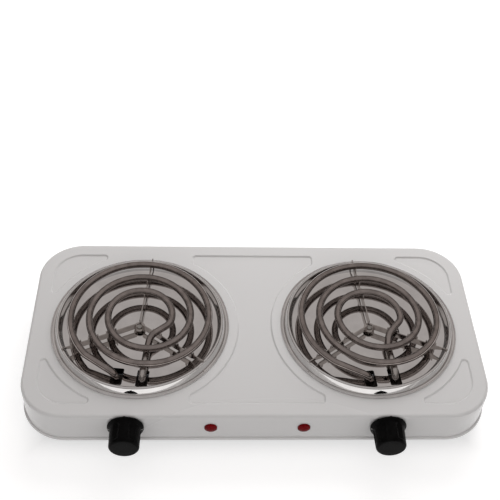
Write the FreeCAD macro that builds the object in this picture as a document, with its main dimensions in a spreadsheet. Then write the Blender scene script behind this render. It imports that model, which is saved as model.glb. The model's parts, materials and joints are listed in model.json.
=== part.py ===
import FreeCAD, Part
import Sketcher
import math
import os
from types import SimpleNamespace

# Double electric hot plate: a pressed steel body on rubber feet, two polished drip pans, each with a
# spiral heating tube on a three armed support, two turning regulators behind black knobs and two lamps.
# X runs to the right, Y to the back and Z up. The origin is on the floor, under the middle of the whole.

Vector = FreeCAD.Vector

# Driving dimensions, millimetres and degrees
SIZES = [
    ("body_width", 430, "steel body, left to right"),
    ("body_depth", 211, "steel body, front to back"),
    ("corner_radius", 42, "upright corners of the body"),
    ("wall_height", 35, "side walls of the body"),
    ("sheet", 1, "steel sheet of the body"),
    ("fold_radius", 3, "fold between top and walls"),
    ("lip_reach", 1.6, "rolled lip round the foot of the walls"),
    ("lip_height", 2.4, "height of the rolled lip"),
    ("panel_inset", 14, "sunk panels, in from the body's edge"),
    ("panel_depth", 1.2, "how far the panels are sunk"),
    ("panel_slope", 1.4, "width of the slope round a sunk panel"),
    ("panel_corner", 4, "corner rounding of a sunk panel"),
    ("island_radius", 93.5, "raised round land under each burner"),
    ("middle_panel_width", 124, "sunk panel between the burners"),
    ("corner_panel_start", 148, "inner end of the corner panels, from the middle"),
    ("corner_panel_side", 38, "side end of the corner panels, from the burner line"),
    ("seat_gap", 0.05, "pieces that are clamped together"),
    ("burner_spacing", 220, "burner to burner"),
    ("burner_forward", 1.1, "burner line in front of the middle of the body"),
    ("burner_angle", 6, "each burner is turned outwards"),
    ("burner_opening", 79, "radius of the hole under a drip pan"),
    ("pan_radius", 85, "drip pan, outside"),
    ("pan_flange", 2.8, "flat flange that lies on the body"),
    ("pan_flank", 2.4, "outward lean of the pan's outer flank"),
    ("pan_roll", 0.7, "radius of the rolled edge"),
    ("pan_sheet", 0.6, "polished sheet of the drip pan"),
    ("crest_height", 7.5, "top of the pan's rim over the body"),
    ("crest_radius", 1.7, "rounding of the pan's rim"),
    ("pan_sink", 0.5, "flat pan floor below the body's top"),
    ("pan_floor_radius", 73.5, "flat floor of the pan"),
    ("pan_wall_bend", 2, "bend from the pan's floor to its sloped wall"),
    ("pan_hole_width", 11, "terminal hole in the pan"),
    ("pan_hole_corner", 1.5, "corner of a terminal hole"),
    ("pan_hole_inner", 52.5, "near side of a terminal hole, from the pan's centre"),
    ("pan_hole_outer", 71, "far side of a terminal hole, from the pan's centre"),
    ("coil_tube", 6.6, "heating tube diameter"),
    ("coil_radius", 65.5, "largest half turn of the spiral"),
    ("coil_step", 8.8, "each half turn is smaller by this"),
    ("coil_height", 12.5, "tube centre over the body's top"),
    ("coil_back", 2, "spiral centre behind the pan's centre"),
    ("lead_arc_radius", 69, "arc from the outer turn towards its terminal"),
    ("lead_arc_angle", 42, "length of that arc"),
    ("lead_run", 7, "straight run after a spiral end"),
    ("lead_bend", 9, "bend of a tube end, on its centre line"),
    ("lead_ease", 14, "gentle bend in a lead, on its centre line"),
    ("lead_clear", 1.2, "gap where the inner lead dips under the turns"),
    ("lead_low", 3, "leads over the pan floor before they turn down"),
    ("inner_turn_x", 13.5, "inner lead, where it starts to dip, to the right"),
    ("inner_turn_y", 21.5, "inner lead, where it starts to dip, to the front"),
    ("inner_dip_y", 33, "inner lead, where it is down, to the front"),
    ("terminal_spacing", 23.4, "tube end to tube end"),
    ("terminal_forward", 64, "tube ends in front of the pan's centre"),
    ("tube_end_depth", 12, "tube ends below the body's top"),
    ("hub_forward", 5, "support hub in front of the pan's centre"),
    ("hub_radius", 5.5, "support hub plate"),
    ("hub_head_radius", 3, "head of the hub screw"),
    ("hub_head_height", 1.8, "head of the hub screw"),
    ("arm_sheet", 1, "strip of the support"),
    ("arm_clear", 3, "upright strips over the pan floor"),
    ("arm_start", 3.4, "arms begin, from the hub's centre"),
    ("arm_level_end", 64, "level lower edge of an arm ends, from the pan's centre"),
    ("arm_rise_end", 76.3, "arms are up at the rim, from the pan's centre"),
    ("arm_tip", 79, "arm ends, from the pan's centre"),
    ("tooth_height", 3.2, "teeth of an arm that hold the tube"),
    ("tooth_width", 1.2, "teeth, along the arm"),
    ("tooth_gap", 0.6, "tooth to tube"),
    ("screw_radius", 2, "machine screw shank"),
    ("screw_play", 0.15, "screw in its hole"),
    ("head_radius", 3.8, "screw head"),
    ("head_height", 2.4, "screw head"),
    ("nut_across", 7, "small hexagon nut, across flats"),
    ("nut_height", 3.2, "small hexagon nut"),
    ("bridge_width", 20, "strap under each burner"),
    ("bridge_sheet", 1.5, "strap under each burner"),
    ("bridge_overlap", 6, "strap beyond the hole in the body"),
    ("bracket_width", 10, "terminal bracket"),
    ("bracket_sheet", 1.2, "terminal bracket"),
    ("block_width", 38, "ceramic terminal block"),
    ("block_depth", 14, "ceramic terminal block"),
    ("block_height", 12, "ceramic terminal block"),
    ("block_play", 0.15, "tube end in the ceramic"),
    ("pin_radius", 1.25, "terminal pin"),
    ("pin_length", 8.5, "terminal pin below the tube end"),
    ("pin_play", 0.15, "terminal pin in the ceramic"),
    ("knob_spacing", 236, "knob to knob"),
    ("knob_drop", 13.5, "knob axis below the body's top"),
    ("knob_gap", 1, "knob skirt to the wall"),
    ("knob_reach", 24, "front of the knob, out from the wall"),
    ("skirt_radius", 16.4, "knob skirt"),
    ("skirt_rim", 2, "straight edge of the skirt"),
    ("dial_length", 1.6, "sloped dial of the knob"),
    ("grip_radius", 14.2, "knob grip at the dial"),
    ("grip_taper", 0.5, "grip gets smaller to the front"),
    ("grip_round", 2.5, "rounded front edge of the knob"),
    ("flute_count", 6, "finger flutes round the grip"),
    ("flute_radius", 6, "hollow and round ends of a flute"),
    ("flute_depth", 1.8, "flute below the grip"),
    ("flute_rear", 4.4, "rear end's centre, in front of the dial"),
    ("flute_front", 6, "front end's centre, behind the front of the knob"),
    ("pointer_width", 2.2, "nub on the skirt"),
    ("pointer_height", 0.5, "nub over the skirt"),
    ("spindle_radius", 3, "regulator spindle"),
    ("spindle_flat", 1.6, "flat on the spindle, from its axis"),
    ("spindle_grip", 10, "spindle inside the knob"),
    ("spindle_tail", 14, "spindle behind the wall"),
    ("spindle_play", 0.05, "running clearance of the spindle"),
    ("bush_radius", 5, "threaded regulator bush"),
    ("bush_reach", 6, "bush, out from the wall"),
    ("bush_flange", 8, "bush flange inside the wall"),
    ("bush_flange_length", 2, "bush flange inside the wall"),
    ("bush_play", 0.15, "bush in the wall"),
    ("bush_nut_across", 14, "bush nut, across flats"),
    ("bush_nut_length", 2.6, "bush nut"),
    ("nut_room", 2.4, "room round the bush nut inside the knob"),
    ("regulator_width", 34, "regulator body"),
    ("regulator_height", 22, "regulator body"),
    ("regulator_clear", 6.3, "regulator body to the terminal block behind it"),
    ("blade_width", 6.3, "flat terminal blade"),
    ("blade_sheet", 0.8, "flat terminal blade"),
    ("blade_length", 6.5, "flat terminal blade"),
    ("blade_spacing", 10, "blade to blade"),
    ("blade_rise", 1.5, "blades over the bottom of the regulator"),
    ("lamp_spacing", 84, "lamp to lamp"),
    ("lamp_drop", 16.5, "lamp axis below the body's top"),
    ("lens_radius", 5.8, "lamp lens"),
    ("lens_rim", 1, "straight edge of the lens"),
    ("lens_dome", 2.2, "height of the domed lens"),
    ("lamp_barrel", 4.4, "lamp in the wall"),
    ("lamp_play", 0.15, "lamp in the wall"),
    ("lens_tail", 5, "lens behind the wall"),
    ("lamp_length", 15, "lamp body"),
    ("clip_ring", 7, "push ring of the lamp"),
    ("clip_ring_sheet", 0.8, "push ring of the lamp"),
    ("plate_rise", 1, "base plate over the foot of the walls"),
    ("plate_sheet", 1, "base plate"),
    ("plate_play", 0.5, "base plate inside the walls"),
    ("foot_height", 12, "foot of the walls over the floor"),
    ("foot_side", 60, "feet in from the side walls"),
    ("foot_inset", 20, "feet in from the front and back walls"),
    ("foot_top", 9.5, "rubber foot at the plate"),
    ("foot_bottom", 8, "rubber foot on the floor"),
    ("foot_pocket", 6, "depth of the screw pocket in a foot"),
    ("foot_pocket_play", 0.6, "screw head in its pocket"),
    ("lug_width", 20, "welded lug for a foot screw"),
    ("lug_sheet", 1.5, "welded lug"),
    ("lug_height", 14, "welded lug on the wall"),
    ("lug_beyond", 6, "welded lug beyond the screw"),
    ("vent_length", 60, "vent slot in the base plate"),
    ("vent_width", 4, "vent slot in the base plate"),
    ("vent_pitch", 12, "vent slot to vent slot"),
    ("vent_count", 7, "vent slots under each burner"),
    ("gland_reach", 8, "cord gland, out from the back wall"),
    ("gland_bore", 3.8, "radius of the cord hole"),
    ("gland_barrel", 7, "gland in the wall"),
    ("gland_flange", 9.5, "gland flange"),
    ("gland_flange_length", 3, "gland flange"),
    ("gland_nose", 6, "tip of the gland"),
    ("gland_tail", 7, "gland behind the wall"),
    ("gland_play", 0.15, "gland in the wall"),
    ("gland_drop", 18, "gland axis below the body's top"),
    ("gland_ring", 10.5, "lock ring of the gland"),
    ("gland_ring_length", 3, "lock ring of the gland"),
    ("mains_width", 36, "mains terminal block"),
    ("mains_depth", 16, "mains terminal block"),
    ("mains_height", 12, "mains terminal block"),
    ("mains_pole_pitch", 11, "pole to pole of the mains block"),
    ("mains_from_back", 34, "mains block in front of the back wall"),
    ("mains_pocket", 3, "depth of a clamp screw's pocket"),
    ("clamp_radius", 1.8, "clamp screw of the mains block"),
    ("earth_offset", 40, "earth screw beside the mains block"),
    ("earth_ring", 5.5, "ring tag of the earth wire"),
    ("earth_ring_sheet", 0.8, "ring tag of the earth wire"),
    ("wire_radius", 1.3, "inner wire with its sleeve"),
    ("wire_play", 0.15, "wire in the mains block"),
    ("wire_low", 3, "lower layer of wires over the base plate"),
    ("wire_high", 6.7, "upper layer of wires over the base plate"),
    ("wire_bend", 3, "bend of a wire, on its centre line"),
    ("wire_turn", 16, "live wires run this far in front of the mains block"),
    ("wire_turn_more", 15, "neutral wires run on by this"),
    ("wire_gather", 32, "wires straighten this far behind the blades"),
    ("wire_rise_run", 10, "run over which the live wire climbs to its blade"),
    ("load_turn", 11.3, "load wire turns this far behind the terminal pins"),
    ("lead_radius", 0.9, "lamp lead with its sleeve"),
    ("lead_apart", 4, "lamp lead to lamp lead"),
    ("lead_back", 10, "lamp leads run this far behind the lamp"),
    ("lead_side", 24, "lamp leads run this far to the side before they come forward"),
    ("lead_enter", 9, "lamp leads meet the regulator this far behind its front"),
]

doc = FreeCAD.newDocument("hot_plate")
sheet = doc.addObject("Spreadsheet::Sheet", "Sizes")
for row, (name, value, note) in enumerate(SIZES, start=1):
    sheet.set("A%d" % row, name)
    sheet.set("B%d" % row, "%g" % value)
    sheet.setAlias("B%d" % row, name)
    sheet.set("C%d" % row, note)
doc.recompute()


class Size:
    """A number together with the sheet expression that gives it."""

    def __init__(self, value, text):
        self.value = float(value)
        self.text = text

    def __float__(self):
        return self.value

    def __add__(self, other):
        other = as_size(other)
        return Size(self.value + other.value, "(%s + %s)" % (self.text, other.text))

    def __sub__(self, other):
        other = as_size(other)
        return Size(self.value - other.value, "(%s - %s)" % (self.text, other.text))

    def __mul__(self, other):
        other = as_size(other)
        return Size(self.value * other.value, "(%s * %s)" % (self.text, other.text))

    def __truediv__(self, other):
        other = as_size(other)
        return Size(self.value / other.value, "(%s / %s)" % (self.text, other.text))

    def __neg__(self):
        return Size(-self.value, "(0 - %s)" % self.text)

    def __radd__(self, other):
        return as_size(other) + self

    def __rsub__(self, other):
        return as_size(other) - self

    def __rmul__(self, other):
        return as_size(other) * self


def as_size(number):
    """The number itself if it is a Size already, or a plain constant."""
    if isinstance(number, Size):
        return number
    return Size(number, "%.9g" % number)


s = SimpleNamespace(**{name: Size(sheet.get(name), "Sizes." + name) for name, value, note in SIZES})
SIDES = (("left", -1), ("right", 1))
TOWARDS_FRONT = FreeCAD.Rotation(Vector(1, 0, 0), 90)
TOWARDS_BACK = FreeCAD.Rotation(Vector(1, 0, 0), -90)
UPRIGHT = FreeCAD.Rotation()

# Places that many pieces share
middle_y = (s.knob_reach - s.gland_reach) / 2
top_z = s.foot_height + s.wall_height
front_y = middle_y - s.body_depth / 2
back_y = middle_y + s.body_depth / 2
burner_y = middle_y - s.burner_forward
plate_z = s.foot_height + s.plate_rise
plate_top = plate_z + s.plate_sheet
foot_y = s.body_depth / 2 - s.foot_inset
pan_floor = -s.pan_sink
arm_top = s.coil_height - s.coil_tube / 2 - s.seat_gap
hub_top = pan_floor + s.arm_clear + s.arm_sheet
bridge_top = pan_floor - s.pan_sheet - s.seat_gap
bracket_top = bridge_top - s.bridge_sheet - s.seat_gap
block_top = bracket_top - s.bracket_sheet - s.seat_gap

nodes = []


def bind(thing, prop, number):
    """Tie one property to the sheet."""
    thing.setExpression(prop, as_size(number).text)


def place(thing, x, y, z, rotation=UPRIGHT):
    """Put a piece at a bound place with a fixed rotation."""
    thing.Placement = FreeCAD.Placement(Vector(float(x), float(y), float(z)), rotation)
    bind(thing, "Placement.Base.x", x)
    bind(thing, "Placement.Base.y", y)
    bind(thing, "Placement.Base.z", z)
    return thing


def place_on_burner(thing, side):
    """Put a piece that is drawn about the pan's centre, at the body's top, on its burner."""
    place(thing, s.burner_spacing / 2 * side, burner_y, top_z, FreeCAD.Rotation(Vector(0, 0, 1), 1))
    bind(thing, "Placement.Rotation.Angle", s.burner_angle * side)
    return thing


def box(name, size_x, size_y, size_z, x, y, z):
    """A block given by its sizes and its lowest corner."""
    thing = doc.addObject("Part::Box", name)
    bind(thing, "Length", size_x)
    bind(thing, "Width", size_y)
    bind(thing, "Height", size_z)
    return place(thing, x, y, z)


def cylinder(name, radius, height, x, y, z, rotation=UPRIGHT):
    """A round bar from its first end."""
    thing = doc.addObject("Part::Cylinder", name)
    bind(thing, "Radius", radius)
    bind(thing, "Height", height)
    return place(thing, x, y, z, rotation)


def hexagon(name, across_flats, height, x, y, z, rotation=UPRIGHT):
    """A hexagon bar from its first end."""
    thing = doc.addObject("Part::Prism", name)
    thing.Polygon = 6
    bind(thing, "Circumradius", across_flats / 2 / math.cos(math.radians(30)))
    bind(thing, "Height", height)
    return place(thing, x, y, z, rotation)


def fuse(name, parts):
    """Several shapes made one."""
    if len(parts) == 1:
        return parts[0]
    thing = doc.addObject("Part::MultiFuse", name)
    thing.Shapes = parts
    return thing


def cut(name, base, tools):
    """A shape with other shapes taken away."""
    thing = doc.addObject("Part::Cut", name)
    thing.Base = base
    thing.Tool = fuse(name + "_tools", tools)
    return thing


def group(name, parts):
    """Like pieces that share a node and stay separate solids."""
    thing = doc.addObject("Part::Compound", name)
    thing.Links = parts
    return thing


def node(label, thing):
    """Enter a finished sub-part under its own name."""
    thing.Label = label
    nodes.append(thing)
    return thing


def free_shape(name, shape):
    """A sub-part whose form neither sketches nor primitives give."""
    thing = doc.addObject("Part::Feature", name)
    thing.Shape = shape
    return thing


def origin_plane(body, role):
    """One of a body's own base planes."""
    return [item for item in body.Origin.OriginFeatures if item.Role == role][0]


def arc_between(start, end, radius):
    """Sketch arc between two corners: a positive radius bulges to the right of the way."""
    half = (end - start) / 2
    reach = math.sqrt(max(radius * radius - half.Length * half.Length, 0))
    turn = 1 if radius > 0 else -1
    across = Vector(-half.y, half.x, 0).normalize()
    centre = start + half + across * reach * turn
    circle = Part.Circle(centre, Vector(0, 0, 1), abs(radius))
    first = math.atan2(start.y - centre.y, start.x - centre.x)
    last = math.atan2(end.y - centre.y, end.x - centre.x)
    if turn > 0:
        return Part.ArcOfCircle(circle, first, last)
    return Part.ArcOfCircle(circle, last, first)


def outline_sketch(body, name, role, outline):
    """Closed sketch through bound corners. A third number makes the way to that corner an arc."""
    sketch = body.newObject("Sketcher::SketchObject", name)
    sketch.AttachmentSupport = [(origin_plane(body, role), "")]
    sketch.MapMode = "FlatFace"
    corners = [Vector(float(corner[0]), float(corner[1]), 0) for corner in outline]
    ends = []
    for index, corner in enumerate(outline):
        start = corners[index - 1]
        end = corners[index]
        if len(corner) == 3:
            sketch.addGeometry(arc_between(start, end, float(corner[2])))
            ends.append((1, 2) if float(corner[2]) > 0 else (2, 1))
        else:
            sketch.addGeometry(Part.LineSegment(start, end))
            ends.append((1, 2))
    for index, corner in enumerate(outline):
        following = (index + 1) % len(outline)
        sketch.addConstraint(
            Sketcher.Constraint("Coincident", index, ends[index][1], following, ends[following][0]))
    for index, corner in enumerate(outline):
        for kind, number in (("DistanceX", corner[0]), ("DistanceY", corner[1])):
            entry = sketch.addConstraint(
                Sketcher.Constraint(kind, -1, 1, index, ends[index][1], float(number)))
            sketch.setExpression("Constraints[%d]" % entry, as_size(number).text)
        if len(corner) == 3:
            entry = sketch.addConstraint(Sketcher.Constraint("Radius", index, abs(float(corner[2]))))
            size = as_size(corner[2])
            sketch.setExpression("Constraints[%d]" % entry, size.text if float(size) > 0 else (-size).text)
    return sketch


def lathe(name, outline):
    """Turned piece about Z from a closed outline of radius and height."""
    body = doc.addObject("PartDesign::Body", name)
    sketch = outline_sketch(body, name + "_outline", "XZ_Plane", outline)
    turned = body.newObject("PartDesign::Revolution", name + "_turned")
    turned.Profile = sketch
    turned.ReferenceAxis = (sketch, ["V_Axis"])
    turned.Angle = 360
    body.Tip = turned
    return body


def rounded_outline(half_x, half_y, radius):
    """Rectangle with round corners about the middle."""
    return [
        (half_x - radius, -half_y),
        (half_x, radius - half_y, radius),
        (half_x, half_y - radius),
        (half_x - radius, half_y, radius),
        (radius - half_x, half_y),
        (-half_x, half_y - radius, radius),
        (-half_x, radius - half_y),
        (radius - half_x, -half_y, radius),
    ]


def slab(name, outline, thickness):
    """Flat piece of a given outline, from its underside at zero."""
    body = doc.addObject("PartDesign::Body", name)
    sketch = outline_sketch(body, name + "_outline", "XY_Plane", outline)
    pad = body.newObject("PartDesign::Pad", name + "_pad")
    pad.Profile = sketch
    bind(pad, "Length", thickness)
    body.Tip = pad
    return body


def round_top(body, radius):
    """Round the edge of a slab's upper face."""
    doc.recompute()
    base = body.Tip
    faces = base.Shape.Faces
    highest = max(range(len(faces)), key=lambda index: faces[index].CenterOfMass.z)
    rounding = body.newObject("PartDesign::Fillet", body.Name + "_rounding")
    rounding.Base = (base, ["Face%d" % (highest + 1)])
    bind(rounding, "Radius", radius)
    body.Tip = rounding
    return body


# Body shell


def panel_cores():
    """The five sunk panels as flat faces with sharp corners, smaller all round by the corner rounding."""
    margin = float(s.panel_inset + s.panel_corner)
    half_x = float(s.body_width) / 2 - margin
    half_y = float(s.body_depth) / 2 - margin
    plate = Part.makeBox(2 * half_x, 2 * half_y, 1, Vector(-half_x, -half_y, 0))
    uprights = [edge for edge in plate.Edges if edge.Length < 2]
    plate = plate.makeFillet(float(s.corner_radius) - margin, uprights)
    for side in (-1, 1):
        centre = Vector(side * float(s.burner_spacing) / 2, -float(s.burner_forward), 0)
        plate = plate.cut(Part.makeCylinder(float(s.island_radius + s.panel_corner), 1, centre))
    middle = float(s.middle_panel_width) / 2 - float(s.panel_corner)
    windows = [Part.makeBox(2 * middle, 2 * half_y, 1, Vector(-middle, -half_y, 0))]
    start_x = float(s.corner_panel_start + s.panel_corner)
    start_y = float(s.corner_panel_side + s.panel_corner)
    for side_x in (-1, 1):
        for side_y in (-1, 1):
            corner = Vector(start_x if side_x > 0 else -half_x, start_y if side_y > 0 else -half_y, 0)
            windows.append(Part.makeBox(half_x - start_x, half_y - start_y, 1, corner))
    panels = [plate.common(window) for window in windows]
    return [min(panel.Faces, key=lambda face: face.CenterOfMass.z) for panel in panels]


def sloped_block(rim, floor):
    """Solid between two like outlines, one sloped face for every edge of the floor."""
    faces = [Part.Face(rim), Part.Face(floor)]
    for edge in floor.Edges:
        partner = min(rim.Edges, key=lambda other: (other.CenterOfMass - edge.CenterOfMass).Length)
        faces.append(Part.makeRuledSurface(edge, partner))
    shell = Part.makeShell(faces)
    shell.sewShape()
    solid = Part.makeSolid(shell)
    if solid.Volume < 0:
        solid.reverse()
    return solid


def panel_tool(grow):
    """Tapered blocks that sink the panels below the zero plane, larger all round by a given amount."""
    blocks = []
    reach = float(s.panel_corner) + grow
    for core in panel_cores():
        rim = core.OuterWire.makeOffset2D(reach)
        floor = core.OuterWire.makeOffset2D(reach - float(s.panel_slope))
        floor.translate(Vector(0, 0, -float(s.panel_depth)))
        blocks.append(sloped_block(rim, floor))
    return Part.makeCompound(blocks)


outer = round_top(slab("body_form", rounded_outline(
    s.body_width / 2, s.body_depth / 2, s.corner_radius), s.wall_height), s.fold_radius)
place(outer, 0, middle_y, s.foot_height)
lip = round_top(slab("lip_form", rounded_outline(
    s.body_width / 2 + s.lip_reach, s.body_depth / 2 + s.lip_reach,
    s.corner_radius + s.lip_reach), s.lip_height), s.lip_reach * 0.9)
place(lip, 0, middle_y, s.foot_height)
hollow = round_top(slab("hollow_form", rounded_outline(
    s.body_width / 2 - s.sheet, s.body_depth / 2 - s.sheet, s.corner_radius - s.sheet),
    s.wall_height - s.sheet), s.fold_radius - s.sheet)
place(hollow, 0, middle_y, s.foot_height)
sunk_above = place(free_shape("panels_above", panel_tool(0)), 0, middle_y, top_z)
sunk_below = place(free_shape("panels_below", panel_tool(float(s.sheet))), 0, middle_y, top_z - s.sheet)
hollow = cut("hollow_with_panels", hollow, [sunk_below])
openings = [hollow, sunk_above]
for name, side in SIDES:
    openings.append(cylinder(
        "burner_opening_" + name, s.burner_opening, s.sheet * 4,
        s.burner_spacing / 2 * side, burner_y, top_z - s.sheet * 2))
    openings.append(cylinder(
        "bush_hole_" + name, s.bush_radius + s.bush_play, s.sheet * 4,
        s.knob_spacing / 2 * side, front_y + s.sheet * 2, top_z - s.knob_drop, TOWARDS_FRONT))
    openings.append(cylinder(
        "lamp_hole_" + name, s.lamp_barrel + s.lamp_play, s.sheet * 4,
        s.lamp_spacing / 2 * side, front_y + s.sheet * 2, top_z - s.lamp_drop, TOWARDS_FRONT))
openings.append(cylinder(
    "gland_hole", s.gland_barrel + s.gland_play, s.sheet * 4,
    0, back_y - s.sheet * 2, top_z - s.gland_drop, TOWARDS_BACK))
node("top_shell", cut("top_shell", fuse("shell_form", [outer, lip]), openings))

# Base plate, welded lugs, feet and their screws

plate = slab("plate_form", rounded_outline(
    s.body_width / 2 - s.sheet - s.plate_play, s.body_depth / 2 - s.sheet - s.plate_play,
    s.corner_radius - s.sheet - s.plate_play), s.plate_sheet)
place(plate, 0, middle_y, plate_z)
plate_holes = []
for name, side in SIDES:
    for slot in range(int(s.vent_count.value)):
        offset = s.vent_pitch * (slot - (s.vent_count.value - 1) / 2)
        plate_holes.append(box(
            "vent_%s_%d" % (name, slot), s.vent_length, s.vent_width, s.plate_sheet * 3,
            s.burner_spacing / 2 * side - s.vent_length / 2, burner_y + offset - s.vent_width / 2,
            plate_z - s.plate_sheet))
plate_holes.append(cylinder(
    "earth_hole", s.screw_radius + s.screw_play, s.plate_sheet * 3,
    s.earth_offset, back_y - s.mains_from_back, plate_z - s.plate_sheet))
lugs = []
foot_screws = []
for row, side_y in (("front", -1), ("rear", 1)):
    for name, side in SIDES:
        tag = "%s_%s" % (row, name)
        x = (s.body_width / 2 - s.foot_side) * side
        y = middle_y + foot_y * side_y
        wall_y = middle_y + (s.body_depth / 2 - s.sheet - s.seat_gap) * side_y
        lug_run = s.foot_inset - s.sheet - s.seat_gap + s.lug_beyond
        leg_y = wall_y if side_y < 0 else wall_y - s.lug_sheet
        ledge_y = wall_y if side_y < 0 else wall_y - lug_run
        ledge_z = plate_top + s.seat_gap
        leg = box("lug_leg_" + tag, s.lug_width, s.lug_sheet, s.lug_height,
                  x - s.lug_width / 2, leg_y, ledge_z)
        ledge = box("lug_ledge_" + tag, s.lug_width, lug_run, s.lug_sheet,
                    x - s.lug_width / 2, ledge_y, ledge_z)
        thread = cylinder("lug_thread_" + tag, s.screw_radius + s.screw_play, s.lug_sheet * 3,
                          x, y, ledge_z - s.lug_sheet)
        lugs.append(cut("lug_" + tag, fuse("lug_form_" + tag, [leg, ledge]), [thread]))
        plate_holes.append(cylinder(
            "screw_hole_" + tag, s.screw_radius + s.screw_play, s.plate_sheet * 3,
            x, y, plate_z - s.plate_sheet))
        foot_rise = plate_z - s.seat_gap
        foot = lathe("foot_form_" + tag, [
            (s.head_radius + s.foot_pocket_play, 0),
            (s.foot_bottom, 0),
            (s.foot_top, foot_rise),
            (s.screw_radius + s.screw_play, foot_rise),
            (s.screw_radius + s.screw_play, s.foot_pocket),
            (s.head_radius + s.foot_pocket_play, s.foot_pocket),
        ])
        node("foot_" + tag, place(foot, x, y, 0))
        head_top = s.foot_pocket - s.seat_gap
        screw = lathe("foot_screw_" + tag, [
            (0, head_top - s.head_height),
            (s.head_radius, head_top - s.head_height),
            (s.head_radius, head_top),
            (s.screw_radius, head_top),
            (s.screw_radius, ledge_z + s.lug_sheet * 2),
            (0, ledge_z + s.lug_sheet * 2),
        ])
        foot_screws.append(place(screw, x, y, 0))
node("bottom_plate", cut("bottom_plate", plate, plate_holes))
node("base_lugs", group("base_lugs", lugs))
node("foot_screws", group("foot_screws", foot_screws))

# Drip pans


def pan_shape():
    """Pressed pan: rolled edge, flange, flank, round rim, sloped wall and flat floor, all one sheet."""
    sheet_size = float(s.pan_sheet)
    under = float(s.seat_gap)
    flange_top = under + sheet_size
    roll = float(s.pan_roll)
    roll_z = flange_top + roll / 8
    outside = float(s.pan_radius)
    flank_foot = Vector(outside - float(s.pan_flange), 0, flange_top)
    rounding = float(s.crest_radius)
    rim = Vector(flank_foot.x - float(s.pan_flank) - rounding, 0, float(s.crest_height) - rounding)
    # The flank leaves the flange and touches the round of the rim
    to_rim = rim - flank_foot
    lean = math.atan2(to_rim.z, to_rim.x) - math.asin(rounding / to_rim.Length)
    up_flank = Vector(math.cos(lean), 0, math.sin(lean))
    flank_top = flank_foot + up_flank * math.sqrt(to_rim.Length ** 2 - rounding ** 2)
    flank_out = (flank_top - rim).normalize()
    # The sloped wall leaves the floor in a bend and touches the round of the rim
    floor_z = float(pan_floor)
    floor_end = float(s.pan_floor_radius)
    rise = rim.z - floor_z
    bend_radius = float(s.pan_wall_bend)
    bend = Vector(floor_end, 0, floor_z + bend_radius)
    across = rim - bend
    slope = math.atan2(across.z, across.x) + math.asin((bend_radius + rounding) / across.Length)
    to_meet = Vector(math.sin(slope), 0, -math.cos(slope))
    bend_middle = (to_meet - Vector(0, 0, 1)).normalize()
    rim_middle = (flank_out - to_meet).normalize()
    hole = float(s.screw_radius + s.screw_play)
    inner_flank_top = rim + flank_out * (rounding - sheet_size)
    inner_foot = inner_flank_top - up_flank * ((inner_flank_top.z - under) / up_flank.z)
    edges = [
        Part.LineSegment(Vector(outside, 0, under), Vector(outside, 0, roll_z)),
        Part.Arc(Vector(outside, 0, roll_z), Vector(outside - roll, 0, roll_z + roll),
                 Vector(outside - 2 * roll, 0, roll_z)),
        Part.LineSegment(Vector(outside - 2 * roll, 0, roll_z), Vector(outside - 2 * roll, 0, flange_top)),
        Part.LineSegment(Vector(outside - 2 * roll, 0, flange_top), flank_foot),
        Part.LineSegment(flank_foot, flank_top),
        Part.Arc(flank_top, rim + rim_middle * rounding, rim - to_meet * rounding),
        Part.LineSegment(rim - to_meet * rounding, bend + to_meet * bend_radius),
        Part.Arc(bend + to_meet * bend_radius, bend + bend_middle * bend_radius,
                 Vector(floor_end, 0, floor_z)),
        Part.LineSegment(Vector(floor_end, 0, floor_z), Vector(hole, 0, floor_z)),
        Part.LineSegment(Vector(hole, 0, floor_z), Vector(hole, 0, floor_z - sheet_size)),
        Part.LineSegment(Vector(hole, 0, floor_z - sheet_size), Vector(floor_end, 0, floor_z - sheet_size)),
        Part.Arc(Vector(floor_end, 0, floor_z - sheet_size), bend + bend_middle * (bend_radius + sheet_size),
                 bend + to_meet * (bend_radius + sheet_size)),
        Part.LineSegment(bend + to_meet * (bend_radius + sheet_size),
                         rim - to_meet * (rounding - sheet_size)),
        Part.Arc(rim - to_meet * (rounding - sheet_size), rim + rim_middle * (rounding - sheet_size),
                 inner_flank_top),
        Part.LineSegment(inner_flank_top, inner_foot),
        Part.LineSegment(inner_foot, Vector(outside, 0, under)),
    ]
    section = Part.Face(Part.Wire([edge.toShape() for edge in edges]))
    # The screw hole follows the support hub, so the turned floor is closed first and drilled there
    pan = section.revolve(Vector(0, 0, 0), Vector(0, 0, 1), 360)
    plug = Part.makeCylinder(2 * hole, sheet_size, Vector(0, 0, floor_z - sheet_size))
    drill_foot = Vector(0, -float(s.hub_forward), floor_z - 2 * sheet_size)
    drill = Part.makeCylinder(hole, 4 * sheet_size, drill_foot)
    pan = pan.fuse(plug).removeSplitter().cut(drill)
    length = float(s.pan_hole_outer - s.pan_hole_inner)
    for side in (-1, 1):
        corner = Vector(side * float(s.terminal_spacing) / 2 - float(s.pan_hole_width) / 2,
                        -float(s.pan_hole_outer), floor_z - 1)
        window = Part.makeBox(float(s.pan_hole_width), length, rise + 2, corner)
        uprights = [edge for edge in window.Edges if abs(edge.tangentAt(edge.FirstParameter).z) > 0.9]
        pan = pan.cut(window.makeFillet(float(s.pan_hole_corner), uprights))
    return pan


for name, side in SIDES:
    node("drip_pan_" + name, place_on_burner(free_shape("drip_pan_" + name, pan_shape()), side))

# Heating coils


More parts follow.
